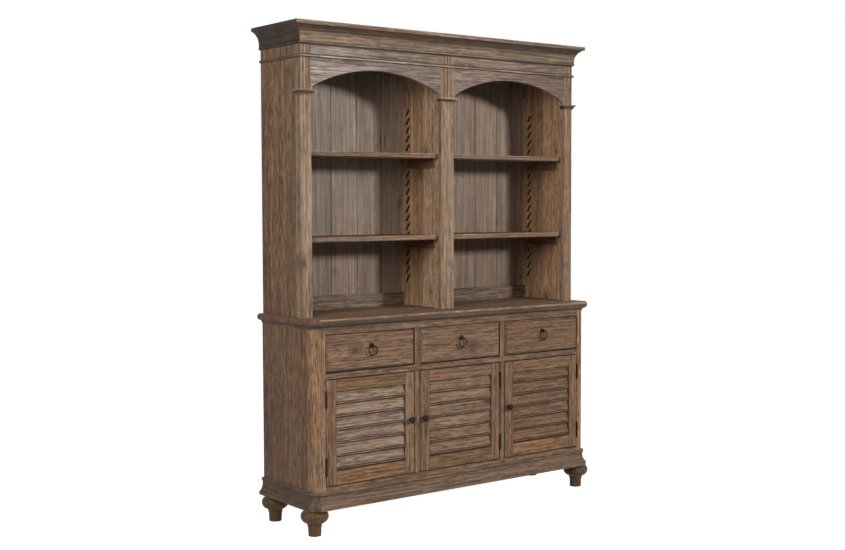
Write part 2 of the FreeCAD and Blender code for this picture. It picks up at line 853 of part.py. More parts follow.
def make_door(name, place_number, hinge_side):
    """One louvred door with its knob and hinge leaves. Gives back the case's leaves and pins."""
    middle = place_number * bay_pitch
    low_x = middle - door_half
    high_x = middle + door_half
    depth = (y_front, y_front + s.door_thickness)
    opening = (low_x + s.door_stile, high_x - s.door_stile)
    slats_low = door_low + s.door_bottom_rail
    slats_high = door_high - s.door_top_rail
    frame = [
        board(f"{name}_door_left_stile", (low_x, opening[0]), depth, (door_low, door_high)),
        board(f"{name}_door_right_stile", (opening[1], high_x), depth, (door_low, door_high)),
        board(f"{name}_door_bottom_rail", opening, depth, (door_low, slats_low)),
        board(f"{name}_door_top_rail", opening, depth, (slats_high, door_high)),
    ]
    group(f"{name}_door_frame", frame)

    body = make_body(f"{name}_door_slats")
    pitch = (slats_high - slats_low) / s.slat_count
    face_low = s.slat_band + s.slat_quirk
    outline = [
        (s.slat_band_inset, 0),
        (s.slat_thickness, 0),
        (s.slat_thickness + s.slat_lean, pitch),
        (s.slat_lean, pitch),
        (s.slat_lean * face_low / pitch, face_low),
        (s.slat_quirk_depth, s.slat_band + s.slat_quirk / 2),
        (0, s.slat_band, s.slat_band_radius, "left"),
    ]
    section = trace(sketch_on(body, "YZ_Plane"), outline)
    slat = pad(body, section, opening[1] - opening[0])
    repeat(body, [slat], "Z_Axis", pitch, s.slat_count)
    place(body, opening[0], y_front + s.slat_recess, slats_low)
    keep(body)

    x_knob = middle - hinge_side * (door_half - s.knob_edge)
    z_knob = (door_low + door_high) / 2 + s.knob_rise
    make_knob(f"{name}_door_knob", x_knob, z_knob)

    x_pin = middle + hinge_side * (door_half + s.door_gap / 2)
    y_pin = y_front - hinge_offset
    door_leaves = []
    case_pieces = []
    heights = (
        ("lower", door_low + s.hinge_edge - s.hinge_height / 2),
        ("upper", door_high - s.hinge_edge - s.hinge_height / 2),
    )
    for level, z in heights:
        at = (x_pin, y_pin, z)
        door_leaves.append(make_leaf(f"{name}_door_{level}_leaf", -hinge_side, DOOR_KNUCKLES, 1, at))
        case_pieces.append(make_leaf(f"{name}_case_{level}_leaf", hinge_side, CASE_KNUCKLES, 0, at))
        pin = doc.addObject("Part::Cylinder", f"{name}_{level}_hinge_pin")
        bind(pin, "Radius", s.hinge_pin_radius)
        bind(pin, "Height", s.hinge_height)
        place(pin, *at)
        case_pieces.append(pin)
    group(f"{name}_door_hinge_leaves", door_leaves)
    return case_pieces


def make_hutch_post(name, side):
    """An L-section corner post, fluted on its front and side above the capital."""
    body = make_body(f"hutch_{name}_post")
    inward = -side
    leg = s.hutch_side_thickness
    outline = [
        (0, 0),
        (inward * s.hutch_post_width, 0),
        (inward * s.hutch_post_width, s.hutch_post_thickness),
        (inward * leg, s.hutch_post_thickness),
        (inward * leg, s.hutch_post_depth),
        (0, s.hutch_post_depth),
    ]
    pad(body, trace(sketch_on(body, "XY_Plane"), outline), z_hutch_top - z_counter)
    flutes = sketch_on(body, "XY_Plane", z_spring - z_counter)
    proud = s.flute_radius - s.flute_depth
    for step in (-1, 0, 1):
        across = s.hutch_post_width / 2 + step * s.flute_spacing
        along = s.hutch_post_depth / 2 + step * s.flute_spacing
        trace_circle(flutes, inward * across, -proud, s.flute_radius)
        trace_circle(flutes, -inward * proud, along, s.flute_radius)
    pocket_along(body, flutes, s.frieze_height)
    place(body, side * half_hutch, y_hutch, z_counter)
    return body


def make_centre_post():
    """The flat post in front of the partition, fluted above the capital."""
    body = make_body("hutch_centre_post")
    half = s.centre_post_width / 2
    outline = [(-half, 0), (half, 0), (half, s.hutch_post_thickness), (-half, s.hutch_post_thickness)]
    pad(body, trace(sketch_on(body, "XY_Plane"), outline), z_hutch_top - z_counter)
    flutes = sketch_on(body, "XY_Plane", z_spring - z_counter)
    for step in (-1, 0, 1):
        trace_circle(flutes, step * s.centre_flute_spacing, s.flute_depth - s.flute_radius, s.flute_radius)
    pocket_along(body, flutes, s.frieze_height)
    place(body, 0, y_hutch, z_counter)
    keep(body)


def collar(width, outer_depth, inner_depth, projection, inward):
    """The outline of a capital round the front and both sides of a post, from its outer front corner."""
    return [
        (-inward * projection, outer_depth),
        (-inward * projection, -projection),
        (inward * (width + projection), -projection),
        (inward * (width + projection), inner_depth),
        (inward * width, inner_depth),
        (inward * width, 0),
        (0, 0),
        (0, outer_depth),
    ]


def make_capital(label, width, outer_depth, inward, x):
    """A capital: a narrow neck, a flared middle and a square fillet on top."""
    body = make_body(label)
    levels = (s.capital_neck_height, s.capital_height - s.capital_fillet_height)

    def section(projection, lift):
        outline = collar(width, outer_depth, s.hutch_post_thickness, projection, inward)
        return trace(sketch_on(body, "XY_Plane", lift), outline)

    pad(body, section(s.capital_neck, 0.0), levels[0])
    loft = body.newObject("PartDesign::AdditiveLoft", "Flare")
    loft.Profile = section(s.capital_neck, levels[0])
    loft.Sections = [section(s.capital_cove, levels[1])]
    loft.Ruled = True
    pad(body, section(s.capital_projection, levels[1]), s.capital_fillet_height)
    place(body, x, y_hutch, z_capital)
    return body


def make_arch(name, low_x, high_x):
    """A face board with a three-centred arch cut in its lower edge."""
    body = make_body(f"hutch_{name}_arch")
    width = high_x - low_x
    height = z_hutch_top - z_spring
    end = s.arch_end_radius
    span = width / 2 - s.arch_foot - end
    drop = (span * span - (s.arch_rise - end) * (s.arch_rise - end)) / (2 * (s.arch_rise - end))
    crown = s.arch_rise + drop
    reach = span * crown / (crown - end)
    joint = drop * end / (crown - end)
    outline = [
        (0, 0),
        (s.arch_foot, 0, end, "right"),
        (width / 2 - reach, joint, crown, "right"),
        (width / 2 + reach, joint, end, "right"),
        (width - s.arch_foot, 0),
        (width, 0),
        (width, height),
        (0, height),
    ]
    pad(body, trace(sketch_on(body, "XZ_Plane"), outline), s.hutch_post_thickness)
    place(body, low_x, y_hutch_frame, z_spring)
    return body


def make_hutch_face():
    """Posts, capitals and arched boards of the hutch's front."""
    group("hutch_corner_posts", [make_hutch_post("left", LEFT), make_hutch_post("right", RIGHT)])
    make_centre_post()
    half_centre = s.centre_post_width / 2
    capitals = [
        make_capital("left_capital", s.hutch_post_width, s.hutch_post_depth, 1, -half_hutch),
        make_capital("centre_capital", s.centre_post_width, s.hutch_post_thickness, 1, -half_centre),
        make_capital("right_capital", s.hutch_post_width, s.hutch_post_depth, -1, half_hutch),
    ]
    group("hutch_capitals", capitals)
    inner_edge = half_hutch - s.hutch_post_width
    arches = [make_arch("left", -inner_edge, -half_centre), make_arch("right", half_centre, inner_edge)]
    group("hutch_arches", arches)


def make_hutch_case():
    """Side panels, partition, top, grooved back and back rails of the hutch."""
    y_side = (y_hutch + s.hutch_post_depth, y_back)
    keep(board("hutch_left_side", (-half_hutch, -x_hutch_inner), y_side, (z_counter, z_hutch_top)))
    keep(board("hutch_right_side", (x_hutch_inner, half_hutch), y_side, (z_counter, z_hutch_top)))
    inside = (y_hutch_frame, y_hutch_back)
    half_partition = s.hutch_partition_thickness / 2
    z_top = z_hutch_top - s.hutch_top_thickness
    keep(board("hutch_partition", (-half_partition, half_partition), inside, (z_counter, z_top)))
    keep(board("hutch_top", (-x_hutch_inner, x_hutch_inner), inside, (z_top, z_hutch_top)))

    body = make_body("hutch_back")
    outline = [
        (-x_hutch_inner, 0),
        (x_hutch_inner, 0),
        (x_hutch_inner, s.hutch_back_thickness),
        (-x_hutch_inner, s.hutch_back_thickness),
    ]
    pad(body, trace(sketch_on(body, "XY_Plane"), outline), z_hutch_top - z_counter)
    side_planks = int((x_hutch_inner.value - s.plank_groove.value) // s.plank_width.value)
    first = -side_planks * s.plank_width
    half = s.plank_groove / 2
    vee = [(first - half, 0), (first + half, 0), (first, s.plank_groove)]
    groove = trace(sketch_on(body, "XY_Plane"), vee)
    cut = pocket_along(body, groove)
    repeat(body, [cut], "X_Axis", s.plank_width, 2 * side_planks + 1)
    place(body, 0, y_hutch_back, z_counter)
    keep(body)

    low_x = half_partition + s.strip_thickness
    high_x = x_hutch_inner - s.strip_thickness
    rail = (y_hutch_back - s.back_rail_thickness, y_hutch_back)
    z_rail = (z_counter, z_counter + s.back_rail_height)
    rails = [
        board("left_back_rail", (-high_x, -low_x), rail, z_rail),
        board("right_back_rail", (low_x, high_x), rail, z_rail),
    ]
    group("hutch_back_rails", rails)


def make_strip(label, x, y, turn):
    """A toothed strip: an upright batten with a row of sloped notches along one edge."""
    body = make_body(label)
    width = s.strip_width
    outline = [(0, 0), (width, 0), (width, s.strip_height), (0, s.strip_height)]
    pad(body, trace(sketch_on(body, "YZ_Plane"), outline), s.strip_thickness)
    low = s.notch_first
    tooth = [
        (width - s.notch_depth, low),
        (width + CUT_SPARE, low),
        (width + CUT_SPARE, low + s.notch_height),
        (width, low + s.notch_height),
    ]
    section = trace(sketch_on(body, "YZ_Plane"), tooth)
    notch = pocket_along(body, section)
    repeat(body, [notch], "Z_Axis", s.notch_pitch, s.notch_count)
    place(body, x, y, z_counter, turn)
    return body


def make_shelving():
    """Toothed strips, cleats and shelves in both bays."""
    half_partition = s.hutch_partition_thickness / 2
    walls = (
        ("left", -x_hutch_inner, -half_partition),
        ("right", half_partition, x_hutch_inner),
    )
    shelves = (("lower", s.lower_shelf_notch), ("upper", s.upper_shelf_notch))
    strips = []
    cleats = []
    y_tooth_front = y_hutch_frame + s.strip_width
    y_tooth_back = y_hutch_back - s.strip_width
    for bay, low_x, high_x in walls:
        high_strip = high_x - s.strip_thickness
        strips.append(make_strip(f"{bay}_bay_front_left_strip", low_x, y_hutch_frame, 0))
        strips.append(make_strip(f"{bay}_bay_front_right_strip", high_strip, y_hutch_frame, 0))
        strips.append(make_strip(f"{bay}_bay_back_left_strip", low_x + s.strip_thickness, y_hutch_back, 180))
        strips.append(make_strip(f"{bay}_bay_back_right_strip", high_x, y_hutch_back, 180))

        end_gap = s.strip_thickness - s.cleat_thickness
        gap = s.cleat_clearance
        reach = s.notch_depth - gap
        outline = [
            (y_tooth_front - reach, 0),
            (y_tooth_back + reach, 0),
            (y_tooth_back - gap, s.notch_height),
            (y_tooth_back - gap, s.cleat_height),
            (y_tooth_front + gap, s.cleat_height),
            (y_tooth_front + gap, s.notch_height),
        ]
        for level, notch in shelves:
            z = z_counter + s.notch_first + notch * s.notch_pitch
            for end, x in (("left", low_x + end_gap / 2), ("right", high_strip + end_gap / 2)):
                body = make_body(f"{bay}_bay_{level}_{end}_cleat")
                pad(body, trace(sketch_on(body, "YZ_Plane"), outline), s.cleat_thickness)
                place(body, x, 0, z)
                cleats.append(body)
            make_shelf(f"{bay}_{level}_shelf", low_x, high_x, z + s.cleat_height)
    group("toothed_strips", strips)
    group("shelf_cleats", cleats)


def make_shelf(label, low_x, high_x, z):
    """A shelf with its corners notched round the toothed strips and its front edge rounded."""
    body = make_body(label)
    low = low_x + s.shelf_end_gap
    high = high_x - s.shelf_end_gap
    low_notch = low_x + s.strip_thickness + s.shelf_notch_gap
    high_notch = high_x - s.strip_thickness - s.shelf_notch_gap
    front = y_hutch_frame + s.shelf_front_gap
    back = y_hutch_back - s.shelf_back_gap
    front_notch = y_hutch_frame + s.strip_width + s.shelf_notch_gap
    back_notch = y_hutch_back - s.strip_width - s.shelf_notch_gap
    outline = [
        (low_notch, front),
        (high_notch, front),
        (high_notch, front_notch),
        (high, front_notch),
        (high, back_notch),
        (high_notch, back_notch),
        (high_notch, back),
        (low_notch, back),
        (low_notch, back_notch),
        (low, back_notch),
        (low, front_notch),
        (low_notch, front_notch),
    ]
    slab = pad(body, trace(sketch_on(body, "XY_Plane"), outline), s.shelf_thickness)
    round_edges(
        body,
        slab,
        s.shelf_nose,
        lambda box: box.YMax < front.value + 0.01 and box.ZLength < 0.01,
    )
    place(body, 0, 0, z)
    keep(body)


def make_hutch_mouldings():
    """The astragal below the frieze and the crown above it, on the front and both sides."""
    astragal = [
        (0, 0),
        *bead(s.astragal_fillet, 0, s.astragal_height),
        (s.astragal_fillet, s.astragal_height),
        (0, s.astragal_height),
    ]
    z = z_crown - s.frieze_band - s.astragal_height
    hutch_mouldings("hutch_astragal", astragal, s.astragal_fillet + s.astragal_height / 2, z)

    cove_low = s.crown_bead + s.crown_neck_height
    cove_high = s.crown_height - s.crown_fillet
    crown = [
        (0, 0),
        *bead(s.crown_bead_seat, 0, s.crown_bead),
        (s.crown_bead_seat, s.crown_bead),
        (s.crown_neck, s.crown_bead),
        (s.crown_neck, cove_low, s.crown_cove_radius, "right"),
        (s.crown_projection - s.crown_lip, cove_high),
        (s.crown_projection, cove_high),
        (s.crown_projection, s.crown_height),
        (0, s.crown_height),
    ]
    hutch_mouldings("crown_moulding", crown, s.crown_projection, z_crown)


def check_model():
    """Stops the build if any object failed, is empty or cut nothing."""
    for item in doc.Objects:
        if {"Invalid", "Error"} & set(item.State):
            raise RuntimeError(f"{item.Label} failed: {item.State}")
        if item.TypeId == "PartDesign::Pocket" and item.Shape.Volume >= item.BaseFeature.Shape.Volume:
            raise RuntimeError(f"{item.Label} of {item.getParentGeoFeatureGroup().Label} cuts nothing")
    for node in nodes:
        if node.Shape.isNull() or not node.Shape.isValid() or not node.Shape.Solids:
            raise RuntimeError(f"{node.Label} has no valid solid")


def write_parts():
    """Writes each sub-part's solids to its own file."""
    os.makedirs("parts", exist_ok=True)
    for node in nodes:
        node.Shape.exportStep(os.path.join("parts", f"{node.Label}.step"))
        print(f"{node.Label}: {len(node.Shape.Solids)} solids, {node.Shape.Volume / 1000:.1f} cm3")
    box = FreeCAD.BoundBox()
    for node in nodes:
        box.add(node.Shape.optimalBoundingBox())
    print(f"{len(nodes)} nodes, {box.XLength:.2f} x {box.YLength:.2f} x {box.ZLength:.2f} mm")


make_countertop()
make_counter_cove()
make_plinth()
make_base_case()
make_feet()
make_runners()
hinge_pieces = []
for bay_name, bay_number, bay_hinge in BAYS:
    make_drawer(bay_name, bay_number)
    hinge_pieces.extend(make_door(bay_name, bay_number, bay_hinge))
group("case_hinge_leaves", hinge_pieces)
make_hutch_face()
make_hutch_case()
make_shelving()
make_hutch_mouldings()
doc.recompute()
check_model()
write_parts()
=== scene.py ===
"""Looks of a dresser with hutch: weathered, wire-brushed pine with dark bronze hardware.

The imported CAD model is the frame. Every wooden node is shown as a copy of its own boards, with softened
edges and the grain laid along each board. The pulls, rings, knobs, pegs and hinge finials are modelled
afresh, and the hinge leaves stay as CAD made them.
"""

import logging
import math
import random
from collections.abc import Callable, Iterator, Sequence
from contextlib import contextmanager
from dataclasses import dataclass, field, replace
from enum import Enum
from functools import partial, reduce

import bpy
from mathutils import Matrix, Vector


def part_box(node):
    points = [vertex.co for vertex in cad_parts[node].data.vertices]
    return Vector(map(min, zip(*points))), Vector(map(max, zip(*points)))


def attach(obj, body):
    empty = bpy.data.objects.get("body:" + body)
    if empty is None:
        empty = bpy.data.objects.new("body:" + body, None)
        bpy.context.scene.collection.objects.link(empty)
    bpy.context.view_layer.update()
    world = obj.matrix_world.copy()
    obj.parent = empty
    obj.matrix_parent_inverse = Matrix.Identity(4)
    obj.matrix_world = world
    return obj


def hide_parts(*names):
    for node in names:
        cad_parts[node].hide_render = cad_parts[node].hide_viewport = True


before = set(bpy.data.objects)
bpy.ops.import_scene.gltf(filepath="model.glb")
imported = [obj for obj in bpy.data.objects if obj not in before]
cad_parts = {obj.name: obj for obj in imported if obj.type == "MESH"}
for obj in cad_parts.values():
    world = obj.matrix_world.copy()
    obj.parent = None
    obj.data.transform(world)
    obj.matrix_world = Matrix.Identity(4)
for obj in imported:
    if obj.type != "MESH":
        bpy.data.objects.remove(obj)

log = logging.getLogger("dresser")

Colour = tuple[float, float, float]
Stretch = tuple[float, float, float]
Profile = Sequence[tuple[float, float]]
Socket = bpy.types.NodeSocket
Sockets = bpy.types.bpy_prop_collection
Feed = Socket | float | tuple

MM = 0.001
CASE = "case"
WHITE = (1.0, 1.0, 1.0)
UP = Vector((0, 0, 1))
FORWARD = Vector((0, -1, 0))
SIDEWAYS = Vector((1, 0, 0))

# Attributes that are written on the meshes: grain, worn edges together with painted dark shade, painted
# light and shade, and board numbers
GRAIN = "grain"
WEAR_AND_SHADE = "wear_and_shade"
SHADE = "shade"
BOARD = "board"

# A plank so wide that no board is divided, in metres
SINGLE_BOARD = 2.0

# Parts of a normal that tell which way a face looks
SIDE_SLOPE = 0.3
SHOULDER_SLOPE = 0.2
LEVEL_SLOPE = 0.95
LEDGE_SLOPE = 0.5

# Places that the painted light and shade is measured from, in metres
HALF_WIDTH = 0.8
CROWN_HEIGHT = 2.1
COUNTER_HEIGHT = 0.907

# Points nearer than this are one, in metres, and flatter edges than these are shaded smooth, in degrees
DOUBLES = 0.005 * MM
ROUND_ANGLE = 35.0
RING_ANGLE = 60.0

# Smallest radius that a turned piece closes to, in millimetres
LEAST_RADIUS = 0.01


# Choices

class Grain(Enum):
    """Which way the grain of a board runs."""

    LONGEST = -1
    ALONG_Y = 1
    ALONG_Z = 2


class Bay(Enum):
    """The three bays of the base, left to right."""

    LEFT = "left"
    MIDDLE = "middle"
    RIGHT = "right"


class PaintedShade(Enum):
    """Where shade is painted dark on a piece: in the gaps round a front piece, on ledges, in flutes or in
    grooves.
    """

    NOWHERE = "nowhere"
    SIDES = "sides"
    LEDGES = "ledges"
    FLUTES = "flutes"
    GROOVES = "grooves"


class Slot(Enum):
    """The record's material slots."""

    WOOD = "wood_case"
    BACK = "wood_back"
    INNER = "wood_inner"
    BRONZE = "bronze"


# Working with meshes

def pick(*objects: bpy.types.Object) -> None:
    """Select these objects alone, the first one active.

    Args:
        objects: The objects to select.
    """
    bpy.ops.object.select_all(action="DESELECT")
    for item in objects:
        item.select_set(True)
    bpy.context.view_layer.objects.active = objects[0]


@contextmanager
def editing(piece: bpy.types.Object, whole: bool = False) -> Iterator[None]:
    """Keep a piece in edit mode for the length of a block.

    Args:
        piece: The mesh object to edit.
        whole: Whether all of it is selected first.

    Returns:
        Nothing to use; the mode goes back at the end of the block.
    """
    pick(piece)
    bpy.ops.object.mode_set(mode="EDIT")
    try:
        if whole:
            bpy.ops.mesh.select_all(action="SELECT")
        yield
    finally:
        bpy.ops.object.mode_set(mode="OBJECT")


def select_points(mesh: bpy.types.Mesh, chosen: Sequence[bool]) -> None:
    """Select vertices alone, with no edge or face left over from an earlier selection.

    Args:
        mesh: A mesh that isn't in edit mode.
        chosen: For each vertex, whether it is selected.
    """
    mesh.polygons.foreach_set("select", [False] * len(mesh.polygons))
    mesh.edges.foreach_set("select", [False] * len(mesh.edges))
    mesh.vertices.foreach_set("select", chosen)


def started(name: str, primitive: Callable[..., object], **settings: object) -> bpy.types.Object:
    """Add a primitive to start a piece from, with nothing else selected.

    Args:
        name: The name of the object and of its mesh.
        primitive: The operator that adds it.
        settings: The operator's settings.

    Returns:
        The new object.
    """
    bpy.ops.object.select_all(action="DESELECT")
    primitive(**settings)
    piece = bpy.context.active_object
    piece.name = name
    piece.data.name = name
    return piece


def settle(piece: bpy.types.Object, angle: float = ROUND_ANGLE) -> None:
    """Put a piece's place into its mesh, close it, turn its faces outwards and smooth its rounds.

    Args:
        piece: The finished mesh object.
        angle: Edges flatter than this many degrees are shaded smooth.
    """
    pick(piece)
    bpy.ops.object.transform_apply(location=True, rotation=True, scale=True)
    with editing(piece, whole=True):
        bpy.ops.mesh.remove_doubles(threshold=DOUBLES)
        bpy.ops.mesh.normals_make_consistent(inside=False)
    bpy.ops.object.shade_smooth_by_angle(angle=math.radians(angle))


def turned(name: str, foot: Vector, axis: Vector, profile: Profile, sides: int) -> bpy.types.Object:
    """Turn a piece as on a lathe: a disc is drawn out along an axis, ring by ring.

    Args:
        name: The piece's name.
        foot: Where the axis starts, in metres.
        axis: The direction in which the piece grows, along one of the frame's axes.
        profile: Pairs of distance along the axis and radius, in millimetres.
        sides: Number of sides of each ring.

    Returns:
        The new object, with its place in its mesh.
    """
    at, wide = profile[0]
    piece = started(
        name,
        bpy.ops.mesh.primitive_circle_add,
        vertices=sides,
        radius=wide * MM,
        fill_type="NGON",
        location=foot + axis * at * MM,
        rotation=UP.rotation_difference(axis).to_euler(),
    )
    with editing(piece, whole=True):
        for step, radius in profile[1:]:
            next_wide = max(radius, LEAST_RADIUS)
            rise = axis * (step - at) * MM
            bpy.ops.mesh.extrude_region_move(TRANSFORM_OT_translate={"value": rise})
            spread = [1.0 if part else next_wide / wide for part in axis]
            bpy.ops.transform.resize(value=spread, center_override=foot + axis * step * MM)
            at, wide = step, next_wide
    settle(piece)
    return piece


def ring_of(
    name: str,
    centre: Vector,
    axis: Vector,
    radius: float,
    wire: float,
    steps: tuple[int, int],
) -> bpy.types.Object:
    """Add a wire ring at its size and place.

    Args:
        name: The piece's name.
        centre: Middle of the ring, in metres.
        axis: The unit direction that the ring turns round.
        radius: Radius at the middle of the wire, in metres.
        wire: Radius of the wire, in metres.
        steps: Steps round the ring and round the wire.

    Returns:
        The new object, with its place in its mesh.
    """
    piece = started(
        name,
        bpy.ops.mesh.primitive_torus_add,
        align="WORLD",
        location=centre,
        rotation=UP.rotation_difference(axis).to_euler(),
        major_radius=radius,
        minor_radius=wire,
        major_segments=steps[0],
        minor_segments=steps[1],
    )
    settle(piece, RING_ANGLE)
    return piece


def joined(first: bpy.types.Object, *others: bpy.types.Object) -> bpy.types.Object:
    """Make one object of several.

    Args:
        first: The object that keeps its name.
        others: The objects that go into it.

    Returns:
        The first object, which now holds all of them.
    """
    pick(first, *others)
    bpy.ops.object.join()
    return first


def copied(source: bpy.types.Object, name: str, move: Vector | None = None) -> bpy.types.Object:
    """Copy a piece, with a mesh of its own.

    Args:
        source: The piece to copy.
        name: The copy's name.
        move: How far the copy's mesh lies from the source's, in metres, or None for the same place.

    Returns:
        The copy.
    """
    piece = bpy.data.objects.new(name, source.data.copy())
    piece.data.name = name
    if move is not None:
        piece.data.transform(Matrix.Translation(move))
    bpy.context.scene.collection.objects.link(piece)
    return piece


# Shader groups

class NodeSheet:
    """A node tree that is being drawn."""

    def __init__(self, tree: bpy.types.NodeTree) -> None:
        """Start on a tree."""
        self.tree = tree

    def feed(self, socket: Socket, value: Feed) -> None:
        """Give a socket its value.

        Args:
            socket: The input to feed.
            value: Another socket to link, or a constant, which is made opaque if it is a colour.
        """
        if isinstance(value, Socket):
            self.tree.links.new(value, socket)
        elif socket.type == "RGBA":
            socket.default_value = (*value, 1.0)
        else:
            socket.default_value = value

    def add(
        self,
        kind: str,
        feeds: dict[str | int, Feed] | Sequence[Feed] = (),
        **settings: object,
    ) -> Sockets:
        """Add a node and feed its inputs.

        Args:
            kind: The node's type name.
            feeds: What goes into the inputs, by their names or numbers, or from the first one on.
            settings: Properties of the node itself.

        Returns:
            The node's outputs.
        """
        node = self.tree.nodes.new(kind)
        for key, value in settings.items():
            setattr(node, key, value)
        pairs = feeds.items() if isinstance(feeds, dict) else enumerate(feeds)
        for key, value in pairs:
            self.feed(node.inputs[key], value)
        return node.outputs

    def math(self, operation: str, *values: Feed) -> Socket:
        """Join one to three values by a Math node's operation."""
        return self.add("ShaderNodeMath", values, operation=operation)[0]

    def total(self, *values: Feed) -> Socket:
        """Add two or more values up."""
        return reduce(partial(self.math, "ADD"), values)

    def product(self, *values: Feed) -> Socket:
        """Multiply two or more values."""
        return reduce(partial(self.math, "MULTIPLY"), values)

    def weighed(self, sources: dict[str, Socket], weights: dict[str, float]) -> list[Socket]:
        """Multiply each source that has a weight by it, in the order of the weights."""
        return [self.product(sources[name], weight) for name, weight in weights.items()]

    def rest(self, value: Feed) -> Socket:
        """Give what is left of one."""
        return self.math("SUBTRACT", 1.0, value)

    def swing(self, value: Feed) -> Socket:
        """Give a value less a half, so that noise swings about zero."""
        return self.math("SUBTRACT", value, 0.5)

    def distance(self, first: Socket, second: Socket) -> Socket:
        """Give the distance that two steps at a right angle lead to."""
        return self.math("SQRT", self.total(self.product(first, first), self.product(second, second)))

    def span(self, *values: Feed) -> Socket:
        """Map a value smoothly: the value, where its range starts and ends, and the results there."""
        return self.add("ShaderNodeMapRange", values, interpolation_type="SMOOTHSTEP")[0]

    def rise(self, value: Feed, low: Feed, high: Feed) -> Socket:
        """Give a share that rises smoothly from 0 where a value is low to 1 where it is high."""
        return self.span(value, low, high, 0.0, 1.0)

    def fade(self, value: Feed, low: Feed, high: Feed) -> Socket:
        """Give a share that falls smoothly from 1 where a value is low to 0 where it is high."""
        return self.span(value, low, high, 1.0, 0.0)

    def mix(self, share: Feed, first: Feed, second: Feed, blend: str = "MIX") -> Socket:
        """Mix two colours by the second one's share; a Mix node takes them at its inputs 6 and 7."""
        feeds = {0: share, 6: first, 7: second}
        return self.add("ShaderNodeMix", feeds, data_type="RGBA", blend_type=blend)[2]

    def vector(self, *parts: Feed) -> Socket:
        """Make a vector of two or three values."""
        return self.add("ShaderNodeCombineXYZ", parts)[0]

    def parts(self, colour: Socket) -> Sequence[Socket]:
        """Split a colour into its red, green and blue."""
        return tuple(self.add("ShaderNodeSeparateColor", (colour,)))

    def drawn_for(self, number: Socket) -> Sequence[Socket]:
        """Give three random values that belong to a number."""
        drawn = self.add("ShaderNodeTexWhiteNoise", {"W": number}, noise_dimensions="1D")
        return self.parts(drawn["Color"])

    def noise(self, place: Socket, stretch: Stretch, detail: float, rough: float) -> Socket:
        """Read a noise texture.

        Args:
            place: Where it is read, in metres.
            stretch: Its scale each way, in cycles per metre.
            detail: Octaves.
            rough: Strength of the finer octaves.

        Returns:
            The value's socket.
        """
        stretched = self.add("ShaderNodeVectorMath", (place, stretch), operation="MULTIPLY")[0]
        feeds = {"Vector": stretched, "Scale": 1.0, "Detail": detail, "Roughness": rough}
        return self.add("ShaderNodeTexNoise", feeds)[0]


class Group:
    """A shader group that gives a surface's colour, roughness and height."""

    NAME = "surface"
    INPUTS: dict[str, Sequence[str]] = {}
    OUTPUTS = {"NodeSocketColor": ("Colour",), "NodeSocketFloat": ("Roughness", "Height")}

    def tree(self) -> bpy.types.NodeTree:
        """Give the group, built the first time that it is asked for.

        Returns:
            The node group.
        """
        found = bpy.data.node_groups.get(self.NAME)
        if found is not None:
            return found
        tree = bpy.data.node_groups.new(self.NAME, "ShaderNodeTree")
        for way, sockets in (("INPUT", self.INPUTS), ("OUTPUT", self.OUTPUTS)):
            for kind, names in sockets.items():
                for name in names:
                    tree.interface.new_socket(name=name, in_out=way, socket_type=kind)
        self.draw(NodeSheet(tree))
        return tree

    def draw(self, pen: NodeSheet) -> None:
        """Draw the group's nodes, which each group has of its own."""
        raise NotImplementedError(self.NAME)


@dataclass(frozen=True)
class Log:
    """Where a point of a plank lies in the log that it was sawn from, and what is that log's own."""

    along: Socket
    row: Socket
    across: Socket
    deep: Socket
    joint: Socket
    tones: Sequence[Socket]


@dataclass(frozen=True)
class Scatter:
    """Spots scattered over the planks, one at most in each cell of a grid; sizes in metres."""

    pitch: tuple[float, float]
    squeeze: float
    least: float
    spread: float
    randomness: float = 0.9

    def over(self, pen: NodeSheet, wood: Log, share: Socket) -> tuple[Socket, Socket, Socket]:
        """Scatter the spots.

        Args:
            pen: The sheet to draw on.
            wood: Where the point lies in its log.
            share: The share of the cells that have a spot.

        Returns:
            Distance to the nearest spot, the spot's size, and 1 where it is there or 0 where it isn't.
        """
        column = pen.math("DIVIDE", wood.along, self.pitch[0])
        row = pen.math("DIVIDE", wood.row, self.pitch[1])
        feeds = {"Vector": pen.vector(column, row), "Scale": 1.0, "Randomness": self.randomness}
        cells = pen.add("ShaderNodeTexVoronoi", feeds, voronoi_dimensions="2D", feature="F1")
        spot = pen.add("ShaderNodeSeparateXYZ", (cells["Position"],))
        along = pen.product(pen.math("SUBTRACT", spot[0], column), self.pitch[0] * self.squeeze)
        across = pen.product(pen.math("SUBTRACT", spot[1], row), self.pitch[1])
        red, green, _ = pen.parts(cells["Color"])
        size = pen.math("MULTIPLY_ADD", green, self.spread, self.least)
        return pen.distance(along, across), size, pen.math("GREATER_THAN", red, pen.rest(share))


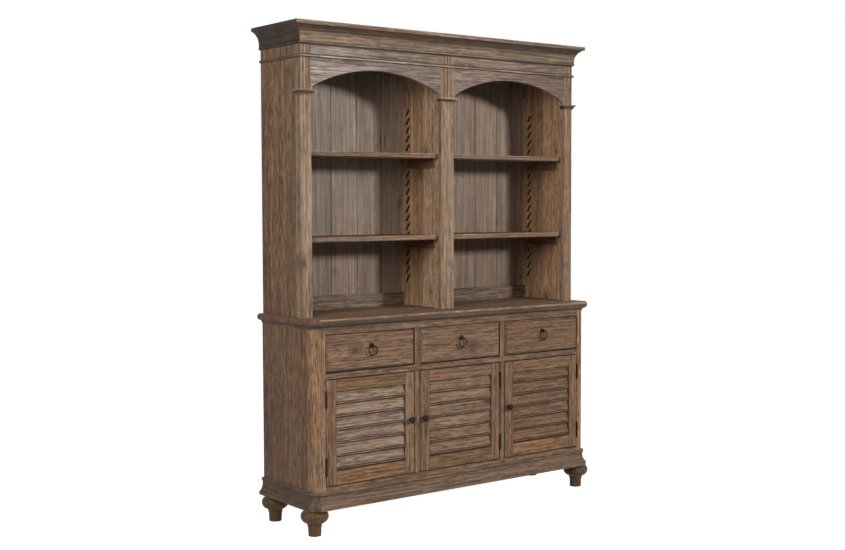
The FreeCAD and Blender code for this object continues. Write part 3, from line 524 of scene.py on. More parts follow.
class PineGroup(Group):
    """The shader group of weathered pine: rings, fibres, knots, checks, holes, joints and worn edges, and
    painted light and shade.
    """

    NAME = "weathered_pine"
    TONES = ("Light", "Mid", "Warm", "Grey", "Dark")
    VALUES = (
        "Plank",
        "Ring Spacing",
        "Ring Strength",
        "Weathering",
        "Flecks",
        "Knots",
        "Holes",
        "Variation",
    )
    INPUTS = {
        "NodeSocketVector": ("Grain",),
        "NodeSocketFloat": ("Wear And Shade", "Shade", *VALUES),
        "NodeSocketColor": TONES,
    }

    # Noises: cycles per metre along and across the grain, octaves, and strength of the finer octaves
    NOISES = {
        "sway": (1.3, 5.0, 1.0, 0.5),
        "ripple": (7.0, 32.0, 2.0, 0.5),
        "fine": (11.0, 950.0, 2.0, 0.6),
        "coarse": (2.4, 92.0, 3.0, 0.6),
        "broad": (1.4, 16.0, 2.0, 0.5),
        "cloud": (2.6, 34.0, 3.0, 0.55),
        "mottle": (9.0, 22.0, 3.0, 0.6),
        "fleck": (20.0, 150.0, 2.0, 0.55),
        "split": (1.5, 75.0, 1.0, 0.5),
    }
    KNOTS = Scatter(pitch=(0.31, 0.085), squeeze=0.5, least=0.004, spread=0.008)
    HOLES = Scatter(pitch=(0.055, 0.034), squeeze=0.8, least=0.0008, spread=0.0009)

    # How far logs differ along, across and through, the least depth in a log, and a knot's rings, in metres
    LOG_SHIFT = (37.0, 0.08, 0.05)
    LEAST_DEPTH = 0.018
    WHORL = 0.0022

    # A knot's core, where its halo starts and ends, and a hole's core, in sizes of the spot
    KNOT_CORE = 0.7
    HALO_START = 0.8
    HALO_END = 3.4
    HOLE_CORE = 0.6

    # Where each smooth step starts and ends, in the value that it is read from
    STEPS = {
        "joint": (0.0004, 0.0016),
        "late wood": (0.25, 0.86),
        "ring end": (0.90, 1.0),
        "check": (0.004, 0.012),
        "checked": (0.52, 0.62),
        "warm": (0.48, 0.72),
        "weather": (0.43, 0.59),
        "light": (0.50, 0.64),
        "dark": (0.48, 0.34),
        "dark fleck": (0.54, 0.66),
        "light fleck": (0.46, 0.34),
        "browned": (0.0, -0.5),
        "whorl": (0.2, 0.8),
        "stain": (-0.3, -0.9),
        "rubbed": (0.40, 0.58),
    }

    # How strongly each effect covers what lies under it
    COVER = {
        "light": 0.88,
        "dark": 0.72,
        "warm halo": 0.35,
        "dark halo": 0.30,
        "knot": 0.9,
        "check": 0.75,
        "joint": 0.7,
        "stain": 0.85,
        "rubbed": 0.55,
    }

    # How far noise and knots bend the rings, in metres
    BENT_BY = {"sway": 0.042, "ripple": 0.0045, "halo": 0.016}

    # How far noise changes the brightness, and how far a log's tone changes its hue and saturation
    SPECKLED_BY = {"fine": 0.75, "mottle": 0.55}
    TINT = 0.02
    RICHNESS = 0.4

    # Roughness of plain wood, and what changes roughness and height
    DULL = 0.60
    DULLED_BY = {"fine": 0.16, "weather": 0.14, "rubbed": -0.10}
    RAISED_BY = {"late": 0.45, "fine": 0.50, "coarse": 0.55, "knot": 0.35, "marks": -1.6}

    # A number apart from the planks' own, for the draw of their tones
    TONE_DRAW = 31.7

    # Colours of wood browned by painted shade, of a knot's heart, of cracks and holes, and of painted dark
    # shade
    BROWNED = (1.0, 0.86, 0.75)
    HEART = (0.030, 0.017, 0.011)
    CRACK = (0.022, 0.014, 0.010)
    PAINTED_SHADE_COLOUR = (0.016, 0.010, 0.007)

    # What the drawing's methods share: the sheet, the group's inputs, the place in the log and the noises
    pen: NodeSheet
    given: Sockets
    wood: Log
    noise: dict[str, Socket]

    def draw(self, pen: NodeSheet) -> None:
        """Draw the group's nodes.

        Args:
            pen: The sheet of the group's tree.
        """
        self.pen = pen
        self.given = pen.add("NodeGroupInput")
        self.wood = self.sawn()
        self.noise = self.noises()
        given = self.given

        # Knots push the rings aside
        near, size, present = self.KNOTS.over(pen, self.wood, given["Knots"])
        halo_ends = (pen.product(size, self.HALO_START), pen.product(size, self.HALO_END))
        halo = pen.product(present, pen.fade(near, *halo_ends))
        knot = pen.product(present, pen.fade(near, pen.product(size, self.KNOT_CORE), size))
        late = self.rings(halo)
        marks = self.marks()

        # Colour, from the log outwards
        weather = pen.product(given["Weathering"], self.step("weather", self.noise["cloud"]))
        colour = self.varied(self.streaks(late, weather))
        colour = pen.mix(self.cover("warm halo", halo), colour, given["Warm"], "MULTIPLY")
        colour = pen.mix(self.cover("dark halo", halo), colour, given["Dark"])
        whorl = pen.math("FRACT", pen.math("DIVIDE", near, self.WHORL))
        heart = pen.mix(self.step("whorl", whorl), given["Dark"], self.HEART)
        colour = pen.mix(self.cover("knot", knot), colour, heart)
        colour = pen.mix(marks, colour, self.CRACK)
        # Painted shade: dark where the attribute is below zero, in gaps, on ledges, in flutes and in
        # grooves
        colour = pen.mix(self.cover("stain", self.step("stain", given["Wear And Shade"])), colour, self.PAINTED_SHADE_COLOUR)
        worn = pen.math("MAXIMUM", given["Wear And Shade"], 0.0)
        rubbed = pen.product(worn, self.step("rubbed", self.noise["mottle"]))
        colour = pen.mix(self.cover("rubbed", rubbed), colour, given["Light"])

        # Gloss and relief
        effects = {
            **self.noise,
            "late": late,
            "knot": knot,
            "marks": marks,
            "weather": weather,
            "rubbed": rubbed,
        }
        surface = {
            "Colour": colour,
            "Roughness": pen.total(self.DULL, *pen.weighed(effects, self.DULLED_BY)),
            "Height": pen.total(*pen.weighed(effects, self.RAISED_BY)),
        }
        pen.add("NodeGroupOutput", surface)

    def step(self, name: str, value: Socket) -> Socket:
        """Give the share that a named step reaches at a value."""
        return self.pen.rise(value, *self.STEPS[name])

    def cover(self, name: str, share: Socket) -> Socket:
        """Give a share at the strength of its effect."""
        return self.pen.product(share, self.COVER[name])

    def sawn(self) -> Log:
        """Saw each plank from another log.

        Returns:
            Where a point lies in its log.
        """
        pen = self.pen
        wide = self.given["Plank"]
        along, row, through = pen.add("ShaderNodeSeparateXYZ", (self.given["Grain"],))
        rows = pen.math("DIVIDE", row, wide)
        plank = pen.math("FLOOR", rows)
        share = pen.math("FRACT", rows)
        red, green, blue = pen.drawn_for(plank)
        to_joint = pen.product(pen.math("MINIMUM", share, pen.rest(share)), wide)
        long, broad, thick = self.LOG_SHIFT
        return Log(
            along=pen.total(along, pen.product(red, long)),
            row=row,
            across=pen.total(pen.product(pen.swing(share), wide), pen.product(pen.swing(green), broad)),
            deep=pen.total(through, pen.product(blue, thick), self.LEAST_DEPTH),
            joint=pen.fade(to_joint, *self.STEPS["joint"]),
            tones=pen.drawn_for(pen.total(plank, self.TONE_DRAW)),
        )

    def noises(self) -> dict[str, Socket]:
        """Draw the noises, stretched along the log.

        Returns:
            The noises by name.
        """
        place = self.pen.vector(self.wood.along, self.wood.across, self.wood.deep)
        drawn = {}
        for name, (along, across, detail, rough) in self.NOISES.items():
            drawn[name] = self.pen.noise(place, (along, across, across), detail, rough)
        return drawn

    def rings(self, halo: Socket) -> Socket:
        """Draw the growth rings, wide where the board lies flat to them.

        Args:
            halo: How near a knot is.

        Returns:
            The share of dark late wood.
        """
        pen = self.pen
        bends = pen.weighed({**self.noise, "halo": halo}, self.BENT_BY)
        bent = pen.total(pen.distance(self.wood.across, self.wood.deep), *bends)
        cycle = pen.math("FRACT", pen.math("DIVIDE", bent, self.given["Ring Spacing"]))
        return pen.product(self.step("late wood", cycle), pen.fade(cycle, *self.STEPS["ring end"]))

    def marks(self) -> Socket:
        """Draw the checks, the worm holes and the joints between planks.

        Returns:
            How dark the marks are.
        """
        pen = self.pen
        to_split = pen.math("ABSOLUTE", pen.swing(self.noise["split"]))
        narrow = pen.fade(to_split, *self.STEPS["check"])
        check = pen.product(narrow, self.step("checked", self.noise["mottle"]))
        near, size, present = self.HOLES.over(pen, self.wood, self.given["Holes"])
        hole = pen.product(present, pen.fade(near, pen.product(size, self.HOLE_CORE), size))
        opening = pen.math("MAXIMUM", hole, self.cover("joint", self.wood.joint))
        return pen.math("MAXIMUM", self.cover("check", check), opening)

    def streaks(self, late: Socket, weather: Socket) -> Socket:
        """Mix the tones of the wood: broad streaks, weathering, brushed fibres, late wood and flecks.

        Args:
            late: The share of dark late wood.
            weather: How weathered the wood is.

        Returns:
            The colour.
        """
        pen = self.pen
        given = self.given
        coarse = self.noise["coarse"]
        fleck = self.noise["fleck"]
        colour = pen.mix(self.step("warm", self.noise["broad"]), given["Mid"], given["Warm"])
        layers = (
            ("Grey", weather),
            ("Light", self.cover("light", self.step("light", coarse))),
            ("Dark", self.cover("dark", self.step("dark", coarse))),
            ("Dark", pen.product(late, given["Ring Strength"])),
            ("Dark", pen.product(self.step("dark fleck", fleck), given["Flecks"])),
            ("Light", pen.product(self.step("light fleck", fleck), given["Flecks"])),
        )
        for tone, share in layers:
            colour = pen.mix(share, colour, given[tone])
        return colour

    def varied(self, colour: Socket) -> Socket:
        """Let each log's tone differ, speckle it, paint light and shade on it, and brown it where shade is
        painted.

        Args:
            colour: The colour so far.

        Returns:
            The varied colour.
        """
        pen = self.pen
        given = self.given
        bright, tint, rich = (pen.product(pen.swing(tone), given["Variation"]) for tone in self.wood.tones)
        swings = {name: pen.swing(self.noise[name]) for name in self.SPECKLED_BY}
        specks = pen.weighed(swings, self.SPECKLED_BY)
        feeds = {
            "Hue": pen.total(0.5, pen.product(tint, self.TINT)),
            "Saturation": pen.total(1.0, pen.product(rich, self.RICHNESS)),
            "Value": pen.total(1.0, bright, *specks, given["Shade"]),
            "Color": colour,
        }
        shaded = pen.add("ShaderNodeHueSaturation", feeds)[0]
        return pen.mix(self.step("browned", given["Shade"]), shaded, self.BROWNED, "MULTIPLY")


class BronzeGroup(Group):
    """The shader group of oil-rubbed bronze: a mottled dark skin, rubbed bright where hands touch it."""

    NAME = "rubbed_bronze"
    INPUTS = {"NodeSocketVector": ("Place",), "NodeSocketColor": ("Skin", "Brown", "Rubbed")}

    # Noises: cycles per metre, octaves, and strength of the finer octaves
    CLOUD = ((140.0, 140.0, 140.0), 3.0, 0.6)
    GRIT = ((900.0, 900.0, 900.0), 2.0, 0.5)

    # Where the brown and the rubbed metal start and end in them, and how far rubbing bares the metal
    BROWN_STEP = (0.35, 0.65)
    RUBBED_STEP = (0.55, 0.72)
    BARE = 0.6

    # Roughness of the smooth skin, and what changes roughness and height
    SMOOTH = 0.17
    ROUGHENED_BY = {"grit": 0.14, "rubbed": -0.05}
    RAISED_BY = {"grit": 0.4}

    def draw(self, pen: NodeSheet) -> None:
        """Draw the group's nodes.

        Args:
            pen: The sheet of the group's tree.
        """
        given = pen.add("NodeGroupInput")
        cloud = pen.noise(given["Place"], *self.CLOUD)
        grit = pen.noise(given["Place"], *self.GRIT)
        rubbed = pen.rise(cloud, *self.RUBBED_STEP)
        colour = pen.mix(pen.rise(grit, *self.BROWN_STEP), given["Skin"], given["Brown"])
        effects = {"grit": grit, "rubbed": rubbed}
        surface = {
            "Colour": pen.mix(pen.product(rubbed, self.BARE), colour, given["Rubbed"]),
            "Roughness": pen.total(self.SMOOTH, *pen.weighed(effects, self.ROUGHENED_BY)),
            "Height": pen.total(*pen.weighed(effects, self.RAISED_BY), cloud),
        }
        pen.add("NodeGroupOutput", surface)


# Finishes

@dataclass(frozen=True)
class Finish:
    """A finish: the surface that a shader group draws, on a Principled shader; relief in millimetres."""

    name: str
    bump: float = field(default=0.55, kw_only=True)
    relief: float = field(default=0.6, kw_only=True)

    def surface(self, pen: NodeSheet) -> Sockets:
        """Place the shader group and give its outputs, which each kind of finish has of its own."""
        raise NotImplementedError(self.name)

    def even(self) -> dict[str, float]:
        """Give the shader's values that are the same all over, which each kind of finish has of its own."""
        raise NotImplementedError(self.name)

    def material(self) -> bpy.types.Material:
        """Give the finish as a material, built the first time that it is asked for.

        Returns:
            The material.
        """
        found = bpy.data.materials.get(self.name)
        if found is not None:
            return found
        made = bpy.data.materials.new(self.name)
        made.use_nodes = True
        pen = NodeSheet(made.node_tree)
        surface = self.surface(pen)
        height = {"Strength": self.bump, "Distance": self.relief * MM, "Height": surface["Height"]}
        feeds = {
            "Base Color": surface["Colour"],
            "Roughness": surface["Roughness"],
            "Normal": pen.add("ShaderNodeBump", height)["Normal"],
            **self.even(),
        }
        shader = made.node_tree.nodes["Principled BSDF"]
        for name, value in feeds.items():
            pen.feed(shader.inputs[name], value)
        return made


@dataclass(frozen=True)
class PineFinish(Finish):
    """One tone of the weathered pine; plank and ring spacing in metres."""

    light: Colour
    mid: Colour
    warm: Colour
    grey: Colour
    dark: Colour
    plank: float = SINGLE_BOARD
    ring_spacing: float = 0.0085
    ring_strength: float = 0.55
    weathering: float = 0.6
    flecks: float = 0.55
    knots: float = 0.35
    holes: float = 0.10
    variation: float = 0.30
    specular: float = 0.32

    def toned(self, name: str, *factors: float) -> "PineFinish":
        """Give the same wood in another tone.

        Args:
            name: The new finish's name.
            factors: Factors for red, green and blue.

        Returns:
            The toned finish.
        """
        tones = {}
        for tone in map(str.lower, PineGroup.TONES):
            tones[tone] = tuple(part * factor for part, factor in zip(getattr(self, tone), factors))
        return replace(self, name=name, **tones)

    def calmed(self, share: float) -> "PineFinish":
        """Give the same wood with its light and dark streaks brought nearer to the middle tone.

        Args:
            share: How far they are brought there, from 0 to 1.

        Returns:
            The calmer finish.
        """
        light, dark = (
            tuple(edge + (middle - edge) * share for edge, middle in zip(tone, self.mid))
            for tone in (self.light, self.dark)
        )
        return replace(self, light=light, dark=dark)

    def surface(self, pen: NodeSheet) -> Sockets:
        """Place the pine's shader group, whose inputs have the names of this finish's fields.

        Args:
            pen: The sheet of the material.

        Returns:
            The group's outputs.
        """
        feeds = {
            "Grain": pen.add("ShaderNodeAttribute", attribute_name=GRAIN)["Vector"],
            "Wear And Shade": pen.add("ShaderNodeAttribute", attribute_name=WEAR_AND_SHADE)["Fac"],
            "Shade": pen.add("ShaderNodeAttribute", attribute_name=SHADE)["Fac"],
        }
        for name in (*PineGroup.TONES, *PineGroup.VALUES):
            feeds[name] = getattr(self, name.lower().replace(" ", "_"))
        return pen.add("ShaderNodeGroup", feeds, node_tree=PineGroup().tree())

    def even(self) -> dict[str, float]:
        """Give the shader's values that are the same all over."""
        return {"Specular IOR Level": self.specular}


@dataclass(frozen=True)
class BronzeFinish(Finish):
    """Dark oil-rubbed bronze."""

    skin: Colour
    brown: Colour
    rubbed: Colour
    metallic: float = 0.95

    def surface(self, pen: NodeSheet) -> Sockets:
        """Place the bronze's shader group.

        Args:
            pen: The sheet of the material.

        Returns:
            The group's outputs.
        """
        place = pen.add("ShaderNodeTexCoord")["Object"]
        feeds = {"Place": place, "Skin": self.skin, "Brown": self.brown, "Rubbed": self.rubbed}
        return pen.add("ShaderNodeGroup", feeds, node_tree=BronzeGroup().tree())

    def even(self) -> dict[str, float]:
        """Give the shader's values that are the same all over."""
        return {"Metallic": self.metallic}


FRONT_PINE = PineFinish(
    "front_pine",
    light=(0.301, 0.181, 0.107),
    mid=(0.207, 0.112, 0.059),
    warm=(0.218, 0.102, 0.049),
    grey=(0.213, 0.141, 0.087),
    dark=(0.060, 0.031, 0.017),
    variation=0.25,
    ring_strength=0.52,
    flecks=0.75,
    knots=0.20,
)
SIDE_PINE = PineFinish(
    "side_pine",
    light=(0.306, 0.183, 0.105),
    mid=(0.175, 0.091, 0.050),
    warm=(0.183, 0.077, 0.041),
    grey=(0.172, 0.116, 0.069),
    dark=(0.051, 0.027, 0.015),
    plank=0.072,
    ring_strength=0.45,
    knots=0.14,
    variation=0.40,
    flecks=0.90,
)
POST_PINE = PineFinish(
    "post_pine",
    light=(0.423, 0.300, 0.201),
    mid=(0.306, 0.189, 0.114),
    warm=(0.299, 0.166, 0.089),
    grey=(0.306, 0.217, 0.149),
    dark=(0.094, 0.054, 0.032),
    ring_strength=0.45,
    weathering=0.7,
    knots=0.18,
    variation=0.36,
)
ARCH_PINE = PineFinish(
    "arch_pine",
    light=(0.483, 0.403, 0.348),
    mid=(0.336, 0.254, 0.210),
    warm=(0.336, 0.224, 0.162),
    grey=(0.353, 0.298, 0.261),
    dark=(0.092, 0.063, 0.049),
    ring_spacing=0.0075,
    ring_strength=0.55,
    weathering=0.85,
    knots=0.14,
)
SLAT_PINE = PineFinish(
    "slat_pine",
    light=(0.377, 0.270, 0.186),
    mid=(0.265, 0.166, 0.103),
    warm=(0.262, 0.141, 0.076),
    grey=(0.282, 0.200, 0.138),
    dark=(0.078, 0.045, 0.027),
    weathering=0.8,
    knots=0.06,
    variation=0.22,
    ring_spacing=0.0032,
    ring_strength=0.45,
    flecks=0.75,
)
CROWN_PINE = PineFinish(
    "crown_pine",
    light=(0.280, 0.198, 0.134),
    mid=(0.188, 0.118, 0.073),
    warm=(0.192, 0.101, 0.057),
    grey=(0.197, 0.146, 0.104),
    dark=(0.054, 0.032, 0.020),
    knots=0.15,
)
BACK_PINE = PineFinish(
    "back_pine",
    light=(0.465, 0.383, 0.321),
    mid=(0.339, 0.258, 0.202),
    warm=(0.330, 0.224, 0.153),
    grey=(0.361, 0.298, 0.247),
    dark=(0.233, 0.166, 0.121),
    plank=0.140,
    ring_strength=0.15,
    weathering=0.9,
    knots=0.04,
    variation=0.26,
    flecks=0.25,
)
COUNTER_PINE = PineFinish(
    "counter_pine",
    light=(0.314, 0.197, 0.120),
    mid=(0.218, 0.123, 0.069),
    warm=(0.226, 0.107, 0.055),
    grey=(0.220, 0.153, 0.100),
    dark=(0.066, 0.037, 0.022),
    plank=0.092,
    knots=0.25,
    variation=0.20,
)
SHELF_PINE = PineFinish(
    "shelf_pine",
    light=(0.781, 0.549, 0.366),
    mid=(0.563, 0.356, 0.216),
    warm=(0.561, 0.311, 0.171),
    grey=(0.569, 0.414, 0.289),
    dark=(0.175, 0.101, 0.062),
    plank=0.135,
    variation=0.30,
)
PLAIN_PINE = PineFinish(
    "plain_pine",
    light=(0.520, 0.390, 0.250),
    mid=(0.430, 0.300, 0.180),
    warm=(0.420, 0.270, 0.150),
    grey=(0.400, 0.310, 0.210),
    dark=(0.230, 0.140, 0.075),
    ring_strength=0.45,
    weathering=0.3,
    holes=0.02,
    bump=0.25,
)
CANT_PINE = replace(
    FRONT_PINE.toned("cant_pine", 1.44, 1.44, 1.34),
    knots=0.0,
    ring_strength=0.7,
    flecks=0.9,
)
LOW_SIDE_PINE = SIDE_PINE.toned("low_side_pine", 0.77, 0.76, 0.72)
INNER_SIDE_PINE = SIDE_PINE.toned("inner_side_pine", 2.05, 2.08, 1.95).calmed(0.45)
WARM_PINE = SIDE_PINE.toned("warm_pine", 2.12, 2.33, 2.33).calmed(0.45)
# The centre post is painted darker than the corner posts, for light that falls off towards the right
CENTRE_POST_PINE = POST_PINE.toned("centre_post_pine", 0.75, 0.72, 0.70)
FOOT_PINE = FRONT_PINE.toned("foot_pine", 0.53, 0.49, 0.35)
DOOR_PINE = FRONT_PINE.toned("door_pine", 0.94, 0.90, 0.82)
STRIP_PINE = replace(WARM_PINE, name="strip_pine", plank=SINGLE_BOARD, variation=0.15, knots=0.05)
# The cleats are a darker copy of the strips' pine, painted shade for the shadow under the shelves
CLEAT_PINE = STRIP_PINE.toned("cleat_pine", 0.50, 0.42, 0.38)
# Dark pine of the pegs, also laid as the painted shadow lines under the crown and above the astragal
PEG_AND_SHADOW_PINE = PineFinish(
    "peg_pine",
    light=(0.110, 0.066, 0.042),
    mid=(0.070, 0.040, 0.025),
    warm=(0.072, 0.036, 0.021),
    grey=(0.075, 0.050, 0.035),
    dark=(0.022, 0.013, 0.009),
    knots=0.0,
    holes=0.0,
)
# The middle and right bays' fronts are painted darker towards the right, for light that falls off that way
FRONT_TONES = {
    Bay.LEFT: FRONT_PINE,
    Bay.MIDDLE: FRONT_PINE.toned("middle_front_pine", 1.0, 1.0, 0.98),
    Bay.RIGHT: FRONT_PINE.toned("right_front_pine", 0.85, 0.79, 0.69),
}
# The middle and right doors' slats are painted darker, for light that falls off towards the right
SLAT_TONES = {
    Bay.LEFT: SLAT_PINE,
    Bay.MIDDLE: SLAT_PINE.toned("middle_slat_pine", 0.81, 0.74, 0.67),
    Bay.RIGHT: SLAT_PINE.toned("right_slat_pine", 0.67, 0.55, 0.44),
}
BRONZE = BronzeFinish(
    "dark_bronze",
    skin=(0.011, 0.009, 0.008),
    brown=(0.018, 0.013, 0.010),
    rubbed=(0.085, 0.056, 0.035),
    bump=0.35,
    relief=0.3,
)


# Wooden pieces

@dataclass(frozen=True)
class Shading:
    """Painted light and shade: how much lighter, or darker if below zero, a piece is painted by its faces'
    look and place.
    """

    # Painted on side faces, level faces, shoulders that look up, upright faces, towards the right end and
    # towards the counter
    sides: float = 0.0
    flats: float = 0.0
    shoulders: float = 0.0
    uprights: float = 0.0
    right: float = 0.0
    low: float = 0.0

    def of_face(self, normal: Vector) -> float:
        """Give the painted light and shade of a face by the way that it looks.

        Args:
            normal: The face's normal.

        Returns:
            The painted light and shade.
        """
        upward = abs(normal.z)
        if abs(normal.x) > SIDE_SLOPE:
            return self.sides
        if SHOULDER_SLOPE < normal.z < LEVEL_SLOPE:
            return self.shoulders
        if upward > LEDGE_SLOPE:
            return self.flats
        return self.uprights * (1.0 - upward / LEDGE_SLOPE)

    def of_point(self, point: Vector) -> float:
        """Give the painted shade of a point by its place.

        Args:
            point: The point, in metres.

        Returns:
            The painted shade, which grows towards the right end and towards the counter.
        """
        across = (point.x + HALF_WIDTH) / (2 * HALF_WIDTH)
        down = (CROWN_HEIGHT - point.z) / (CROWN_HEIGHT - COUNTER_HEIGHT)
        return self.right * across + self.low * min(max(down, 0.0), 1.0)


EVEN = Shading()


@dataclass
class Joinery:
    """Turns wooden CAD nodes into softened boards with their grain laid and light and shade painted on;
    metres and degrees.
    """

    seed: int = 4117
    merge: float = 0.002 * MM
    flat_angle: float = 0.2
    edge_angle: float = 38.0
    round_angle: float = 40.0
    segments: int = 2
    flat_weight: int = 100
    first_log: int = 5
    log_count: int = 40
    log_length: float = 9.0
    # How far faces lean that are painted dark as shade in gaps, flutes and grooves, and how dark they are
    # painted
    side_slope: float = 0.1
    flute_slope: float = 0.3
    groove_slope: float = 0.3
    full_stain: float = -1.0
    edge_stain: float = -0.9
    flute_stain: float = -0.62
    draw: random.Random = field(init=False)

    def __post_init__(self) -> None:
        """Start the seeded draw of logs."""
        self.draw = random.Random(self.seed)

    def boards(
        self,
        node: str,
        finish: PineFinish,
        body: str = CASE,
        slot: Slot = Slot.WOOD,
        ease: float = 1.2,
        grain: Grain = Grain.LONGEST,
        plank_from: float | None = None,
        stain: PaintedShade = PaintedShade.NOWHERE,
        shading: Shading = EVEN,
    ) -> bpy.types.Object:
        """Show a wooden node as softened boards.

        Args:
            node: The CAD node.
            finish: The tone of the wood.
            body: The body that it rides on.
            slot: The record's material slot.
            ease: How far the edges are eased, in millimetres.
            grain: Which way the grain runs.
            plank_from: Where the planks are counted from, in metres, or None for each board's own edge.
            stain: Where shade is painted dark.
            shading: Painted light and shade, by the way its faces look and by their place.

        Returns:
            The finished piece.
        """
        piece = copied(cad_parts[node], f"{node}_wood")
        self.clean(piece)
        self.soften(piece, ease, finish)
        self.darken(piece, stain, shading)
        self.lay(piece, grain, finish.plank, plank_from)
        return show(piece, body, slot, node)

    def board(
        self,
        name: str,
        ends: tuple[Vector, Vector],
        finish: PineFinish,
        ease: float,
    ) -> bpy.types.Object:
        """Saw a new board for the case, ease its edges and lay its grain.

        Args:
            name: The board's name.
            ends: Its lowest and highest corners, in metres.
            finish: The tone of the wood.
            ease: How far the edges are eased, in millimetres.

        Returns:
            The finished board.
        """
        low, high = ends
        middle = (low + high) / 2
        piece = started(name, bpy.ops.mesh.primitive_cube_add, size=1.0, location=middle)
        with editing(piece, whole=True):
            bpy.ops.transform.resize(value=high - low, center_override=middle)
        settle(piece)
        self.soften(piece, ease, finish)
        self.darken(piece, PaintedShade.NOWHERE, EVEN)
        self.lay(piece, Grain.LONGEST, finish.plank, None)
        return show(piece, CASE, Slot.WOOD)

    def clean(self, piece: bpy.types.Object) -> None:
        """Join a copied node's loose triangles into whole faces, board by board.

        Args:
            piece: The copy of the node.
        """
        mesh = piece.data
        count = number_boards(mesh)
        with editing(piece):
            bpy.ops.mesh.customdata_custom_splitnormals_clear()
            bpy.ops.mesh.select_mode(type="VERT")
        for number in range(count):
            select_points(mesh, [tag.value == number for tag in mesh.attributes[BOARD].data])
            with editing(piece):
                bpy.ops.mesh.remove_doubles(threshold=self.merge)
        with editing(piece, whole=True):
            bpy.ops.mesh.dissolve_limited(angle_limit=math.radians(self.flat_angle), delimit={"NORMAL"})

    def soften(self, piece: bpy.types.Object, ease: float, finish: PineFinish) -> None:
        """Ease the sharp edges and mark them as worn.

        Args:
            piece: The piece, with whole faces.
            ease: How far the edges are eased, in millimetres.
            finish: The tone of the wood.
        """
        mesh = piece.data
        mesh.materials.clear()

        # A second slot tells the eased faces apart until their wear is written
        mesh.materials.append(finish.material())
        mesh.materials.append(finish.material())
        pick(piece)
        eased = piece.modifiers.new("eased", "BEVEL")
        eased.width = ease * MM
        eased.segments = self.segments
        eased.limit_method = "ANGLE"
        eased.angle_limit = math.radians(self.edge_angle)
        eased.use_clamp_overlap = True
        eased.material = 1
        bpy.ops.object.modifier_apply(modifier=eased.name)
        worn = [float(face.material_index) for face in mesh.polygons]
        mesh.polygons.foreach_set("material_index", [0] * len(mesh.polygons))
        mesh.materials.pop(index=1)
        mesh.attributes.new(WEAR_AND_SHADE, "FLOAT", "FACE").data.foreach_set("value", worn)
        bpy.ops.object.shade_smooth_by_angle(angle=math.radians(self.round_angle))
        flat = piece.modifiers.new("flat", "WEIGHTED_NORMAL")
        flat.weight = self.flat_weight
        flat.keep_sharp = True
        bpy.ops.object.modifier_apply(modifier=flat.name)

    def darken(self, piece: bpy.types.Object, stain: PaintedShade, shading: Shading) -> None:
        """Paint dark shade in gaps, on ledges, in flutes or grooves, and light and shade by each face's
        look and place.

        Args:
            piece: The softened piece.
            stain: Where shade is painted dark: the sides that stand in the gaps round a front piece,
                the ledges of notches, the flutes, or the grooves between slats.
            shading: Painted light and shade, by the way its faces look and by their place.
        """
        mesh = piece.data
        shades = [0.0] * len(mesh.loops)
        for face, worn in zip(mesh.polygons, mesh.attributes[WEAR_AND_SHADE].data):
            sideways, forward, upward = (abs(part) for part in face.normal)
            in_gap = stain is PaintedShade.SIDES and forward < self.side_slope
            on_ledge = stain is PaintedShade.LEDGES and upward > LEDGE_SLOPE
            in_flute = stain is PaintedShade.FLUTES and min(sideways, forward) > self.flute_slope
            in_groove = stain is PaintedShade.GROOVES and (upward > self.groove_slope or worn.value > 0.0)
            # Shade painted dark in gaps, on ledges, in flutes and in grooves, written over the wear
            if in_gap and worn.value == 0.0 or on_ledge or in_groove:
                worn.value = self.full_stain
            elif in_flute:
                worn.value = self.flute_stain
            elif stain is PaintedShade.SIDES and worn.value > 0.0:
                worn.value = self.edge_stain
            # Painted light and shade by the way the face looks and, except on side faces, by its place
            ground = shading.of_face(face.normal)
            for loop in face.loop_indices:
                point = mesh.vertices[mesh.loops[loop].vertex_index].co
                shades[loop] = ground if sideways > SIDE_SLOPE else ground + shading.of_point(point)
        mesh.attributes.new(SHADE, "FLOAT", "CORNER").data.foreach_set("value", shades)

    def lay(self, piece: bpy.types.Object, grain: Grain, plank: float, plank_from: float | None) -> None:
        """Lay the grain along each board of a piece, each board from another log.

        Args:
            piece: The softened piece.
            grain: Which way the grain runs.
            plank: Width of the planks, in metres.
            plank_from: Where the planks are counted from, or None for each board's own edge.
        """
        mesh = piece.data
        values = [0.0] * (3 * len(mesh.loops))
        for faces in separate_boards(mesh):
            used = {index for face in faces for index in mesh.polygons[face].vertices}
            points = [mesh.vertices[index].co for index in used]
            low = Vector([min(point[axis] for point in points) for axis in range(3)])
            high = Vector([max(point[axis] for point in points) for axis in range(3)])
            spread = high - low
            order = sorted(range(3), key=lambda axis: -spread[axis])
            if grain is not Grain.LONGEST:
                order.remove(grain.value)
                order.insert(0, grain.value)
            along, across, through = order
            start = self.draw.uniform(0.0, self.log_length)
            row = self.draw.randrange(self.first_log, self.log_count) * plank
            if plank == SINGLE_BOARD:
                origin = (low[across] + high[across]) / 2 - plank / 2
            elif plank_from is None:
                origin = low[across]
            else:
                origin = plank_from
            for face in faces:
                for loop in mesh.polygons[face].loop_indices:
                    point = mesh.vertices[mesh.loops[loop].vertex_index].co
                    values[3 * loop] = point[along] + start
                    values[3 * loop + 1] = point[across] - origin + row
                    values[3 * loop + 2] = point[through] - low[through]
        mesh.attributes.new(GRAIN, "FLOAT_VECTOR", "CORNER").data.foreach_set("vector", values)


